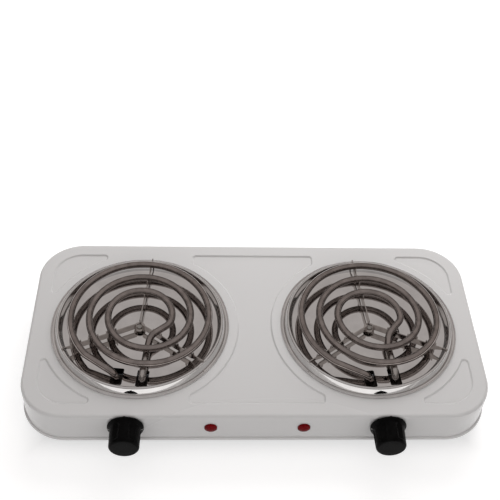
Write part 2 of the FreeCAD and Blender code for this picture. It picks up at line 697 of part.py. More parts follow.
def rounded_run(points, radii):
    """Straight runs between points, with a tangent arc of its own radius at each inner point."""
    edges = []
    last = points[0]
    for index, radius in enumerate(radii, start=1):
        corner = points[index]
        before = (points[index - 1] - corner).normalize()
        after = (points[index + 1] - corner).normalize()
        half = before.getAngle(after) / 2
        reach = radius / math.tan(half)
        towards = (before + after).normalize()
        middle = corner + towards * (radius / math.sin(half) - radius)
        start = corner + before * reach
        end = corner + after * reach
        edges.append(Part.LineSegment(last, start).toShape())
        edges.append(Part.Arc(start, middle, end).toShape())
        last = end
    edges.append(Part.LineSegment(last, points[-1]).toShape())
    return edges


def tube(edges, radius):
    """Round bar along joined edges, its volume compared with section times length."""
    start = edges[0].firstVertex(True).Point
    along = edges[0].tangentAt(edges[0].FirstParameter)
    ring = Part.Wire([Part.Circle(start, along, radius).toShape()])
    solid = Part.Wire(edges).makePipeShell([ring], True, False)
    expected = math.pi * radius * radius * sum(edge.Length for edge in edges)
    if abs(solid.Volume / expected - 1) > 0.02:
        raise RuntimeError("a tube has %.3f of its volume" % (solid.Volume / expected))
    return solid


def spiral_point(centre_x, radius, degrees):
    """Point of the flat spiral, on a half turn about its own centre."""
    angle = math.radians(degrees)
    return Vector(centre_x + radius * math.cos(angle),
                  float(s.coil_back) + radius * math.sin(angle), float(s.coil_height))


def spiral_arc(centre_x, radius, first, last):
    """Part of a turn between two angles."""
    middle = spiral_point(centre_x, radius, (first + last) / 2)
    return Part.Arc(spiral_point(centre_x, radius, first), middle,
                    spiral_point(centre_x, radius, last)).toShape()


def coil_edges():
    """Centre line of the heating tube from the outer terminal, round the spiral, to the inner one."""
    radius = float(s.coil_radius)
    step = float(s.coil_step)
    low = float(pan_floor + s.lead_low + s.coil_tube / 2)
    end_z = -float(s.tube_end_depth)
    pin_x = float(s.terminal_spacing) / 2
    pin_y = -float(s.terminal_forward)
    # Outer lead: up through the pan, along to the lead arc and on to the left of the first half turn
    lead_radius = float(s.lead_arc_radius)
    lead_x = lead_radius - radius
    lead_end = 180 + float(s.lead_arc_angle)
    join = spiral_point(lead_x, lead_radius, lead_end)
    angle = math.radians(lead_end)
    away = Vector(-math.sin(angle), math.cos(angle), 0)
    edges = rounded_run(
        [Vector(-pin_x, pin_y, end_z), Vector(-pin_x, pin_y, low), join + away * float(s.lead_run), join],
        [float(s.lead_bend), float(s.lead_ease)])
    edges.append(spiral_arc(lead_x, lead_radius, lead_end, 180))
    # Half turns, back and front in turn, each smaller by the step and tangent to the last
    for half in range(5):
        size = radius - half * step
        centre_x = step * (half % 2)
        first = 180 if half % 2 == 0 else 0
        edges.append(spiral_arc(centre_x, size, first, first - 180))
    # Inner lead: over the support arm, down under the turns and out through the pan
    last = spiral_point(0, radius - 4 * step, 0)
    dip = float(s.coil_height - s.coil_tube - s.lead_clear)
    edges += rounded_run(
        [last, last - Vector(0, float(s.lead_run), 0),
         Vector(float(s.inner_turn_x), -float(s.inner_turn_y), last.z),
         Vector(pin_x, -float(s.inner_dip_y), dip),
         Vector(pin_x, pin_y, low), Vector(pin_x, pin_y, end_z)],
        [float(s.lead_ease), float(s.lead_ease), float(s.lead_ease), float(s.lead_bend)])
    return edges


def least_gap(edges, diameter):
    """Least distance between stretches of the tube that are not neighbours, measured on points."""
    spots = []
    travelled = 0
    for edge in edges:
        for point in edge.discretize(Distance=1.5)[:-1]:
            spots.append((travelled, point))
            travelled += 1.5
    least = 1000
    for index, (first_at, first) in enumerate(spots):
        for second_at, second in spots[index + 1:]:
            if second_at - first_at > 5 * diameter:
                least = min(least, (second - first).Length)
    return least - diameter


coil_line = coil_edges()
print("least gap between turns of the heating tube: %.2f mm" % least_gap(coil_line, float(s.coil_tube)))
coil = tube(coil_line, float(s.coil_tube) / 2)
for name, side in SIDES:
    node("heating_coil_" + name, place_on_burner(free_shape("heating_coil_" + name, coil), side))

# Coil supports


def arm_reach(degrees, radius):
    """Distance along an arm, from the hub, at which it is at a given radius of the pan."""
    along = Vector(math.cos(math.radians(degrees)), math.sin(math.radians(degrees)), 0)
    hub = Vector(0, -float(s.hub_forward), 0)
    across = hub.dot(along)
    return math.sqrt(radius * radius - hub.Length ** 2 + across * across) - across


def tube_crossings(degrees):
    """Distances along an arm, from the hub, at which the heating tube crosses over it."""
    turn = FreeCAD.Rotation(Vector(0, 0, 1), -degrees)
    found = []
    for edge in coil_line:
        spots = [turn.multVec(point + Vector(0, float(s.hub_forward), 0)) for point in edge.discretize(60)]
        for first, second in zip(spots, spots[1:]):
            if first.y * second.y <= 0 and first.x > 0 and first.z > float(arm_top):
                found.append(first.x + (second.x - first.x) * first.y / (first.y - second.y))
    return sorted(found)


def support_arm(degrees):
    """Upright strip along X from the hub, stepped up to the pan's rim, with teeth between the turns."""
    half = float(s.arm_sheet) / 2
    start = float(s.arm_start)
    low = float(pan_floor + s.arm_clear)
    rim_z = float(s.crest_height + s.seat_gap)
    top = float(arm_top)
    level_end = arm_reach(degrees, float(s.arm_level_end))
    rise_end = arm_reach(degrees, float(s.arm_rise_end))
    tip = arm_reach(degrees, float(s.arm_tip))
    outline = [Vector(start, -half, low), Vector(level_end, -half, low),
               Vector(rise_end, -half, rim_z), Vector(tip, -half, rim_z),
               Vector(tip, -half, top), Vector(start, -half, top)]
    strip = Part.Face(Part.makePolygon(outline + outline[:1])).extrude(Vector(0, 2 * half, 0))
    reach = float(s.coil_tube / 2 + s.tooth_gap)
    width = float(s.tooth_width)
    places = []
    for crossing in tube_crossings(degrees):
        places += [crossing - reach - width, crossing + reach]
    tall = float(s.tooth_height) + half
    teeth = [Part.makeBox(width, 2 * half, tall, Vector(spot, -half, top - half)) for spot in places]
    return strip.multiFuse(teeth)


def support_shape():
    """Three upright arms on a small hub plate with a screw hole."""
    plate_foot = Vector(0, 0, float(hub_top - s.arm_sheet))
    plate = Part.makeCylinder(float(s.hub_radius), float(s.arm_sheet), plate_foot)
    hole = float(s.screw_radius + s.screw_play)
    plate = plate.cut(Part.makeCylinder(hole, float(s.arm_sheet), plate_foot))
    arms = []
    for degrees in (90, 210, 330):
        arm = support_arm(degrees)
        arm.rotate(Vector(0, 0, 0), Vector(0, 0, 1), degrees)
        arms.append(arm)
    support = plate.multiFuse(arms).removeSplitter()
    # The compound keeps the move to the hub apart from the piece's own placement
    support.translate(Vector(0, -float(s.hub_forward), 0))
    return Part.makeCompound(support.Solids)


support = support_shape()
for name, side in SIDES:
    node("coil_support_" + name, place_on_burner(free_shape("coil_support_" + name, support), side))

# Clamp under each burner: strap, bracket, ceramic block, pins and fasteners
# These are drawn about the pan's centre and put on their burner as a whole


def on_burner(name, thing, side):
    """A copy of a drawn piece, put on its burner."""
    return place_on_burner(group(name, [thing]), side)


def block_form(tag):
    """Ceramic block with stepped bores for the tube ends and a screw hole."""
    block = box("block_" + tag, s.block_width, s.block_depth, s.block_height,
                -s.block_width / 2, -s.terminal_forward - s.block_depth / 2, block_top - s.block_height)
    bores = [cylinder("block_screw_hole_" + tag, s.screw_radius + s.screw_play, s.block_height * 2,
                      0, -s.terminal_forward, block_top - s.block_height * 1.5)]
    for end, way in SIDES:
        bores.append(cylinder(
            "tube_bore_%s_%s" % (tag, end), s.coil_tube / 2 + s.block_play, s.tube_end_depth,
            s.terminal_spacing / 2 * way, -s.terminal_forward, -s.tube_end_depth - s.seat_gap))
        bores.append(cylinder(
            "pin_bore_%s_%s" % (tag, end), s.pin_radius + s.pin_play, s.block_height * 2,
            s.terminal_spacing / 2 * way, -s.terminal_forward, block_top - s.block_height * 1.5))
    return cut("block_form_" + tag, block, bores)


def hub_screw_form(tag):
    """Screw from the support hub down to its nut, with a rounded head."""
    under_head = hub_top + s.seat_gap
    end = bracket_top - s.bracket_sheet - s.seat_gap - s.nut_height - s.screw_radius
    crown = s.hub_head_height * 0.4
    screw = lathe("hub_screw_form_" + tag, [
        (0, end),
        (s.screw_radius, end),
        (s.screw_radius, under_head),
        (s.hub_head_radius, under_head),
        (s.hub_head_radius, under_head + s.hub_head_height - crown),
        (0, under_head + s.hub_head_height,
         (s.hub_head_radius * s.hub_head_radius + crown * crown) / (crown * 2)),
    ])
    return place(screw, 0, -s.hub_forward, 0)


hub_screws = []
hub_nuts = []
block_screws = []
for name, side in SIDES:
    strap_half = s.burner_opening + s.bridge_overlap
    strap = box("bridge_strap_" + name, strap_half * 2, s.bridge_width, s.bridge_sheet,
                -strap_half, -s.hub_forward - s.bridge_width / 2, bridge_top - s.bridge_sheet)
    strap_hole = cylinder("bridge_hole_" + name, s.screw_radius + s.screw_play, s.bridge_sheet * 3,
                          0, -s.hub_forward, bridge_top - s.bridge_sheet * 2)
    strap = cut("bridge_form_" + name, strap, [strap_hole])
    node("burner_bridge_" + name, on_burner("burner_bridge_" + name, strap, side))
    bracket_front = s.terminal_forward + s.block_depth / 2
    bracket_rear = s.hub_forward - s.bracket_width / 2
    bracket = box("bracket_plate_" + name, s.bracket_width, bracket_front - bracket_rear, s.bracket_sheet,
                  -s.bracket_width / 2, -bracket_front, bracket_top - s.bracket_sheet)
    bracket_holes = []
    for end, forward in (("rear", s.hub_forward), ("front", s.terminal_forward)):
        bracket_holes.append(cylinder(
            "bracket_hole_%s_%s" % (name, end), s.screw_radius + s.screw_play, s.bracket_sheet * 3,
            0, -forward, bracket_top - s.bracket_sheet * 2))
    bracket = cut("bracket_form_" + name, bracket, bracket_holes)
    node("terminal_bracket_" + name, on_burner("terminal_bracket_" + name, bracket, side))
    node("terminal_block_" + name, on_burner("terminal_block_" + name, block_form(name), side))
    pins = []
    for end, way in SIDES:
        pins.append(cylinder(
            "pin_%s_%s" % (name, end), s.pin_radius, s.pin_length - s.seat_gap * 2,
            s.terminal_spacing / 2 * way, -s.terminal_forward,
            -s.tube_end_depth - s.pin_length + s.seat_gap))
    node("coil_pins_" + name, on_burner("coil_pins_" + name, group("pin_pair_" + name, pins), side))
    hub_screws.append(on_burner("hub_screw_" + name, hub_screw_form(name), side))
    nut_top = bracket_top - s.bracket_sheet - s.seat_gap
    nut = hexagon("hub_nut_bar_" + name, s.nut_across, s.nut_height,
                  0, -s.hub_forward, nut_top - s.nut_height)
    nut_hole = cylinder("hub_nut_hole_" + name, s.screw_radius + s.screw_play, s.nut_height * 3,
                        0, -s.hub_forward, nut_top - s.nut_height * 2)
    hub_nuts.append(on_burner("hub_nut_" + name, cut("hub_nut_form_" + name, nut, [nut_hole]), side))
    block_under = block_top - s.block_height - s.seat_gap
    block_screw = lathe("block_screw_form_" + name, [
        (0, block_under - s.head_height),
        (s.head_radius, block_under - s.head_height),
        (s.head_radius, block_under),
        (s.screw_radius, block_under),
        (s.screw_radius, bracket_top),
        (0, bracket_top),
    ])
    place(block_screw, 0, -s.terminal_forward, 0)
    block_screws.append(on_burner("block_screw_" + name, block_screw, side))
node("hub_screws", group("hub_screws", hub_screws))
node("hub_nuts", group("hub_nuts", hub_nuts))
node("block_screws", group("block_screws", block_screws))

# Knobs, spindles and regulators, drawn along Z out of the front wall

flange_front = -s.sheet - s.seat_gap
flange_back = flange_front - s.bush_flange_length
pocket_floor = s.bush_reach + s.knob_gap * 2
dial_foot = s.knob_gap + s.skirt_rim
grip_start = dial_foot + s.dial_length
grip_end = s.knob_reach - s.grip_round
grip_front = s.grip_radius - s.grip_taper
flute_first = grip_start + s.flute_rear
flute_last = s.knob_reach - s.flute_front
flute_away = s.grip_radius + s.flute_radius - s.flute_depth
flute_form = lathe("flute_form", [
    (0, flute_first - s.flute_radius),
    (s.flute_radius, flute_first, s.flute_radius),
    (s.flute_radius, flute_last),
    (0, flute_last + s.flute_radius, s.flute_radius),
])
spindle_end = pocket_floor + s.spindle_grip
regulator_front = front_y - flange_back + s.seat_gap
regulator_back = burner_y - s.terminal_forward - s.block_depth / 2 - s.regulator_clear
regulator_z = top_z - s.knob_drop
blade_z = regulator_z - s.regulator_height / 2 + s.blade_rise
bush_nuts = []
for name, side in SIDES:
    x = s.knob_spacing / 2 * side
    bush = lathe("bush_form_" + name, [
        (s.spindle_radius + s.spindle_play, flange_back),
        (s.bush_flange, flange_back),
        (s.bush_flange, flange_front),
        (s.bush_radius, flange_front),
        (s.bush_radius, s.bush_reach),
        (s.spindle_radius + s.spindle_play, s.bush_reach),
    ])
    node("regulator_bush_" + name, place(bush, x, front_y, regulator_z, TOWARDS_FRONT))
    nut = hexagon("bush_nut_bar_" + name, s.bush_nut_across, s.bush_nut_length,
                  x, front_y - s.seat_gap, regulator_z, TOWARDS_FRONT)
    nut_hole = cylinder("bush_nut_hole_" + name, s.bush_radius + s.bush_play, s.bush_nut_length * 3,
                        x, front_y + s.bush_nut_length, regulator_z, TOWARDS_FRONT)
    bush_nuts.append(cut("bush_nut_" + name, nut, [nut_hole]))
    case = box("regulator_case_" + name, s.regulator_width, regulator_back - regulator_front,
               s.regulator_height, x - s.regulator_width / 2, regulator_front,
               regulator_z - s.regulator_height / 2)
    tail_room = s.spindle_tail + s.seat_gap * 10
    tail_bore = cylinder("tail_bore_" + name, s.spindle_radius + s.spindle_play, tail_room,
                         x, front_y + tail_room, regulator_z, TOWARDS_FRONT)
    node("regulator_" + name, cut("regulator_" + name, case, [tail_bore]))
    blades = []
    for end, way in SIDES:
        blades.append(box(
            "blade_%s_%s" % (name, end), s.blade_width, s.blade_length, s.blade_sheet,
            x + s.blade_spacing / 2 * way - s.blade_width / 2, regulator_back + s.seat_gap,
            blade_z - s.blade_sheet / 2))
    node("regulator_blades_" + name, group("regulator_blades_" + name, blades))
    bar = cylinder("spindle_bar_" + name, s.spindle_radius, s.spindle_tail + spindle_end - s.seat_gap,
                   0, 0, -s.spindle_tail)
    flat = box("spindle_flat_" + name, s.spindle_radius * 2, s.spindle_radius, s.spindle_grip * 2,
               -s.spindle_radius, -s.spindle_flat - s.spindle_radius, pocket_floor)
    spindle = group("spindle_" + name, [cut("spindle_form_" + name, bar, [flat])])
    node("spindle_" + name, place(spindle, x, front_y, regulator_z, TOWARDS_FRONT))
    pocket_radius = s.bush_nut_across / 2 / math.cos(math.radians(30)) + s.nut_room
    knob = lathe("knob_turned_" + name, [
        (pocket_radius, s.knob_gap),
        (s.skirt_radius, s.knob_gap),
        (s.skirt_radius, dial_foot),
        (s.grip_radius, grip_start),
        (grip_front, grip_end),
        (grip_front - s.grip_round, s.knob_reach, s.grip_round),
        (0, s.knob_reach),
        (0, pocket_floor),
        (pocket_radius, pocket_floor),
    ])
    pointer = box("pointer_" + name, s.pointer_width, s.skirt_radius - s.grip_radius + s.pointer_height,
                  s.skirt_rim + s.pointer_height, -s.pointer_width / 2, s.grip_radius, s.knob_gap)
    bore = cylinder("knob_bore_" + name, s.spindle_radius + s.seat_gap, s.spindle_grip,
                    0, 0, pocket_floor)
    bore_flat = box("knob_bore_flat_" + name, s.spindle_radius * 4, s.spindle_radius, s.spindle_grip,
                    -s.spindle_radius * 2, -s.spindle_flat - s.seat_gap - s.spindle_radius, pocket_floor)
    hollows = [cut("knob_bore_form_" + name, bore, [bore_flat])]
    # Flutes lie evenly round the grip, with a land in line with the nub
    for index in range(int(s.flute_count.value)):
        angle = math.tau * (index + 0.5) / s.flute_count.value
        flute = group("flute_%s_%d" % (name, index), [flute_form])
        hollows.append(place(flute, flute_away * math.sin(angle), flute_away * math.cos(angle), 0))
    knob_solid = fuse("knob_solid_" + name, [knob, pointer])
    knob = group("knob_" + name, [cut("knob_form_" + name, knob_solid, hollows)])
    node("knob_" + name, place(knob, x, front_y, regulator_z, TOWARDS_FRONT))
node("bush_nuts", group("bush_nuts", bush_nuts))

# Lamps

lens_back = -s.sheet - s.lens_tail
lens_foot = s.seat_gap + s.lens_rim
lamp_z = top_z - s.lamp_drop
lamp_back = front_y + s.sheet + s.lens_tail + s.seat_gap + s.lamp_length
clips = []
for name, side in SIDES:
    x = s.lamp_spacing / 2 * side
    lens = lathe("lens_form_" + name, [
        (0, lens_back),
        (s.lamp_barrel, lens_back),
        (s.lamp_barrel, s.seat_gap),
        (s.lens_radius, s.seat_gap),
        (s.lens_radius, lens_foot),
        (0, lens_foot + s.lens_dome,
         (s.lens_radius * s.lens_radius + s.lens_dome * s.lens_dome) / (s.lens_dome * 2)),
    ])
    node("lamp_lens_" + name, place(lens, x, front_y, lamp_z, TOWARDS_FRONT))
    node("lamp_body_" + name, cylinder(
        "lamp_body_" + name, s.lamp_barrel, s.lamp_length, x, lamp_back, lamp_z, TOWARDS_FRONT))
    clip = lathe("clip_form_" + name, [
        (s.lamp_barrel + s.lamp_play, flange_front - s.clip_ring_sheet),
        (s.clip_ring, flange_front - s.clip_ring_sheet),
        (s.clip_ring, flange_front),
        (s.lamp_barrel + s.lamp_play, flange_front),
    ])
    clips.append(place(clip, x, front_y, lamp_z, TOWARDS_FRONT))
node("lamp_clips", group("lamp_clips", clips))

# Cord gland, mains block and earth screw

gland_z = top_z - s.gland_drop
gland = lathe("gland_form", [
    (s.gland_bore, -s.sheet - s.gland_tail),
    (s.gland_barrel, -s.sheet - s.gland_tail),
    (s.gland_barrel, s.seat_gap),
    (s.gland_flange, s.seat_gap),
    (s.gland_flange, s.seat_gap + s.gland_flange_length),
    (s.gland_barrel, s.seat_gap + s.gland_flange_length),
    (s.gland_nose, s.gland_reach),
    (s.gland_bore, s.gland_reach),
])
node("cord_gland", place(gland, 0, back_y, gland_z, TOWARDS_BACK))
lock_ring = lathe("lock_ring_form", [
    (s.gland_barrel + s.gland_play, flange_front - s.gland_ring_length),
    (s.gland_ring, flange_front - s.gland_ring_length),
    (s.gland_ring, flange_front),
    (s.gland_barrel + s.gland_play, flange_front),
])
node("gland_lock_ring", place(lock_ring, 0, back_y, gland_z, TOWARDS_BACK))
mains_y = back_y - s.mains_from_back
mains_front = mains_y - s.mains_depth / 2
mains_rear = mains_y + s.mains_depth / 2
mains_z = plate_top + s.seat_gap
mains = box("mains_form", s.mains_width, s.mains_depth, s.mains_height,
            -s.mains_width / 2, mains_front, mains_z)
mains_holes = []
clamp_screws = []
for pole in (-1, 0, 1):
    x = s.mains_pole_pitch * pole
    pocket_z = mains_z + s.mains_height - s.mains_pocket
    mains_holes.append(cylinder(
        "clamp_pocket_%d" % (pole + 1), s.clamp_radius + s.screw_play, s.mains_height, x, mains_y, pocket_z))
    clamp_screws.append(cylinder(
        "clamp_screw_%d" % (pole + 1), s.clamp_radius, s.mains_pocket, x, mains_y, pocket_z + s.seat_gap))
    for layer, rise in (("low", s.wire_low), ("high", s.wire_high)):
        mains_holes.append(cylinder(
            "wire_hole_%s_%d" % (layer, pole + 1), s.wire_radius + s.wire_play, s.mains_depth * 2,
            x, mains_y - s.mains_depth, plate_top + rise, TOWARDS_BACK))
node("mains_block", cut("mains_block", mains, mains_holes))
node("clamp_screws", group("clamp_screws", clamp_screws))
ring_z = plate_top + s.seat_gap
earth_head = ring_z + s.earth_ring_sheet + s.seat_gap
earth_screw = lathe("earth_screw", [
    (0, plate_z - s.screw_radius * 2),
    (s.screw_radius, plate_z - s.screw_radius * 2),
    (s.screw_radius, earth_head),
    (s.head_radius, earth_head),
    (s.head_radius, earth_head + s.head_height),
    (0, earth_head + s.head_height),
])
node("earth_screw", place(earth_screw, s.earth_offset, mains_y, 0))

# Wires inside the body


def wire(points, radius):
    """Sleeved wire through points, every corner an arc of the same bend."""
    corners = [Vector(float(x), float(y), float(z)) for x, y, z in points]
    return tube(rounded_run(corners, [float(s.wire_bend)] * (len(corners) - 2)), float(radius))


def pin_place(side, way):
    """Middle of a terminal pin in the frame of the whole; way is -1 for the pin on the left."""
    turn = FreeCAD.Rotation(Vector(0, 0, 1), float(s.burner_angle) * side)
    spot = turn.multVec(Vector(way * float(s.terminal_spacing) / 2, -float(s.terminal_forward), 0))
    return float(s.burner_spacing) / 2 * side + spot.x, float(burner_y) + spot.y


pin_end = float(top_z - s.tube_end_depth - s.pin_length)
blade_end = float(regulator_back + s.blade_length + s.seat_gap * 2)
low_z = plate_top + s.wire_low
load_y = burner_y - s.terminal_forward + s.load_turn
for name, side in SIDES:
    layer_z = plate_top + (s.wire_high if side < 0 else s.wire_low)
    middle_x = s.knob_spacing / 2 * side
    # On the left the live wire takes the outer blade, on the right the inner one, so none of them cross
    live_x = middle_x - s.blade_spacing / 2
    load_x = middle_x + s.blade_spacing / 2
    load_pin = pin_place(side, -1)
    neutral_pin = pin_place(side, 1)
    gather_y = blade_end + s.wire_gather
    into_block = s.wire_radius * 2
    live = wire([
        (-s.mains_pole_pitch, mains_front + into_block, layer_z),
        (-s.mains_pole_pitch, mains_front - s.wire_turn, layer_z),
        (live_x, gather_y, layer_z),
        (live_x, gather_y - s.wire_rise_run, blade_z),
        (live_x, blade_end, blade_z)], s.wire_radius)
    load = wire([
        (load_x, blade_end, blade_z),
        (load_x, load_y, blade_z),
        (load_pin[0], load_y, low_z),
        (load_pin[0], load_pin[1], low_z),
        (load_pin[0], load_pin[1], pin_end)], s.wire_radius)
    neutral = wire([
        (s.mains_pole_pitch, mains_front + into_block, layer_z),
        (s.mains_pole_pitch, mains_front - s.wire_turn - s.wire_turn_more, layer_z),
        (neutral_pin[0], gather_y, layer_z),
        (neutral_pin[0], neutral_pin[1], layer_z),
        (neutral_pin[0], neutral_pin[1], pin_end)], s.wire_radius)
    node("wires_" + name, free_shape("wires_" + name, Part.makeCompound([live, load, neutral])))
    leads = []
    for way in (-1, 1):
        apart = s.lead_apart / 2 * way
        lead_x = s.lamp_spacing / 2 * side + apart * side
        lead_z = lamp_z + apart
        run_y = lamp_back + s.lead_back + apart
        turn_x = (s.lamp_spacing / 2 + s.lead_side) * side + apart * side
        enter_x = (s.knob_spacing / 2 - s.regulator_width / 2 - s.seat_gap) * side
        enter_y = regulator_front + s.lead_enter + apart
        leads.append(wire([
            (lead_x, lamp_back + s.seat_gap, lead_z),
            (lead_x, run_y, lead_z),
            (turn_x, run_y, lead_z),
            (turn_x, enter_y, lead_z),
            (enter_x, enter_y, lead_z)], s.lead_radius))
    node("lamp_leads_" + name, free_shape("lamp_leads_" + name, Part.makeCompound(leads)))
earth_z = ring_z + s.wire_radius + s.seat_gap
earth_wire = wire([
    (0, mains_rear - s.wire_radius * 2, low_z),
    (0, mains_rear + s.lead_back, low_z),
    (s.earth_offset, mains_rear + s.lead_back, low_z),
    (s.earth_offset, mains_rear, earth_z),
    (s.earth_offset, mains_y + s.head_radius + s.seat_gap * 6, earth_z)], s.wire_radius)
tag = Part.makeCylinder(float(s.earth_ring), float(s.earth_ring_sheet),
                        Vector(float(s.earth_offset), float(mains_y), float(ring_z)))
tag_hole = Part.makeCylinder(float(s.screw_radius + s.screw_play), float(s.head_height),
                             Vector(float(s.earth_offset), float(mains_y), float(plate_z)))
node("earth_wire", free_shape("earth_wire", earth_wire.fuse(tag).cut(tag_hole)))

# Check every piece and write it out

doc.recompute()
for thing in doc.Objects:
    if "Invalid" in thing.State or "Error" in thing.State:
        raise RuntimeError("%s is not built: %s" % (thing.Name, thing.getStatusString()))
for thing in nodes:
    if thing.Shape.isNull() or not thing.Shape.isValid() or thing.Shape.Volume <= 0:
        raise RuntimeError("%s has no sound shape" % thing.Label)
os.makedirs("parts", exist_ok=True)
for thing in nodes:
    thing.Shape.exportStep("parts/%s.step" % thing.Label)
print("%d pieces written" % len(nodes))
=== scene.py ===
import json
import math

import bpy
from bpy.props import FloatProperty, FloatVectorProperty, IntProperty, PointerProperty
from mathutils import Matrix, Vector


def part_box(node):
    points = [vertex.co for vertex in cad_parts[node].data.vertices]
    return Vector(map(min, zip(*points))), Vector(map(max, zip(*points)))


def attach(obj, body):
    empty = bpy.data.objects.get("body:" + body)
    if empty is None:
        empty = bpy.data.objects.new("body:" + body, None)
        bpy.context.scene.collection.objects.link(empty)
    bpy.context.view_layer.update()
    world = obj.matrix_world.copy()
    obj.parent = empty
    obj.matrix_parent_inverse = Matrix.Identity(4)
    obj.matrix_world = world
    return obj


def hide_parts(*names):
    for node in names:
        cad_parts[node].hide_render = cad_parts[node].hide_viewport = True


bl_info = {
    "name": "Double hot plate",
    "version": (1, 0, 0),
    "blender": (4, 5, 0),
    "location": "View3D > Sidebar > Hot Plate",
    "description": "Dresses the packed hot plate: pans, heating tubes, knobs, finishes and a pale stage",
    "category": "Object",
}

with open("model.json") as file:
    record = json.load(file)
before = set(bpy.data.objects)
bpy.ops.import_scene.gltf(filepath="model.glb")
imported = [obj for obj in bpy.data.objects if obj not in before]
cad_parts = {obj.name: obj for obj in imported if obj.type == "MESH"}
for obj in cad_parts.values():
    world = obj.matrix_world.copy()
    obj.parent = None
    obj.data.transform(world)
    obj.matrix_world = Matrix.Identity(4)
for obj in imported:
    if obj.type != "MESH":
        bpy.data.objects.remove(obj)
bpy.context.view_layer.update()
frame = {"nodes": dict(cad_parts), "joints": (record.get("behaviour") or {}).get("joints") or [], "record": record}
SIDES = (("left", -1), ("right", 1))
BODY_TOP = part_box("top_shell")[1].z
PAN_LOW, PAN_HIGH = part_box("drip_pan_left")
BURNER_X = -(PAN_LOW.x + PAN_HIGH.x) / 2
BURNER_Y = (PAN_LOW.y + PAN_HIGH.y) / 2
KNOBS = [joint["pos_m"] for joint in frame["joints"]]

# Points and rings of the turned and swept shapes
PAN_STEPS = 192
ROLL_POINTS = 8
CREST_POINTS = 18
CREST_UNDER_POINTS = 10
BEND_POINTS = 12
BEND_UNDER_POINTS = 8
FLOOR_RINGS = (0.75, 0.5, 0.3, 0.15)
KNOB_STEPS = 96
SKIRT_POINTS = 4
GRIP_RINGS = (0.25, 0.5, 0.75, 1)
GRIP_ROUND_POINTS = 8
FLUTE_STEPS = 48
FLUTE_END_POINTS = 10
HOLE_POINTS = 40
HOLE_CORNER_STEPS = 5
NUB_EDGE_STEPS = 3
KNOB_EDGE_STEPS = 2
KNOB_EDGE_ANGLE = math.radians(28)

# Length and least number of the steps in a swept bend, and how near points are merged
SWEEP_STEP = 0.0011
SWEEP_LEAST = 4
MERGE_PROFILE = 0.000005
MERGE_TUBE = 0.000002

# Reach of the cutters below and over the body's top, and length of the screw hole's cutter
CUT_UNDER = 0.004
CUT_OVER = 0.010
DRILL_LENGTH = 0.004

# Noise of the finishes: its roughness, and the middle part of it that tint and gloss vary over
NOISE_ROUGHNESS = 0.55
TINT_ENDS = (0.35, 0.65)
GLOSS_ENDS = (0.3, 0.7)

# Stage floor: its side, its glow, and how far from the middle the body's shadow hides the glow
FLOOR_SIZE = 8
FLOOR_GLOW = 0.62
SHADOW_REACH = (("X", 0.19), ("Y", 0.085))
SHADOW_INSIDE = 0.05
SHADOW_OUTSIDE = 0.03

# Sky tones by height over the horizon
SKY = (
    (0.00, (0.950, 0.9300, 0.9200)),
    (0.13, (0.950, 0.9215, 0.9025)),
    (0.17, (0.050, 0.0485, 0.0475)),
    (0.42, (0.060, 0.0582, 0.0570)),
    (0.50, (0.480, 0.4500, 0.4360)),
    (0.78, (0.475, 0.4460, 0.4340)),
    (1.00, (0.500, 0.4900, 0.4900)),
)

# Soft lamps: name, place, width and height, and power
LAMP_TARGET = (0, 0, 0.05)
LAMPS = (
    ("key_softbox", (0.16, 0.70, 0.50), (1.0, 0.8), 7.1),
    ("fill_softbox", (0.05, -0.95, 0.45), (2.4, 0.5), 4.2),
)

# Camera as found from the photograph
CAMERA_PITCH = math.radians(46.25)
CAMERA_YAW = math.radians(3.67)
CAMERA_ROLL = math.radians(-3.08)
CAMERA_PLACE = Vector((-0.04376, BURNER_Y - 0.54829, BODY_TOP + 0.67915))
CAMERA_SENSOR = 36
FOCAL_PIXELS = 900.47
PHOTO_PIXELS = 500


def length(name, description, default):
    """A size in metres for the panel."""
    return FloatProperty(name=name, description=description, default=default, unit="LENGTH", precision=5)


def colour(name, description, default):
    """A colour for the panel."""
    return FloatVectorProperty(name=name, description=description, default=default, subtype="COLOR",
                               size=3, min=0, max=1)


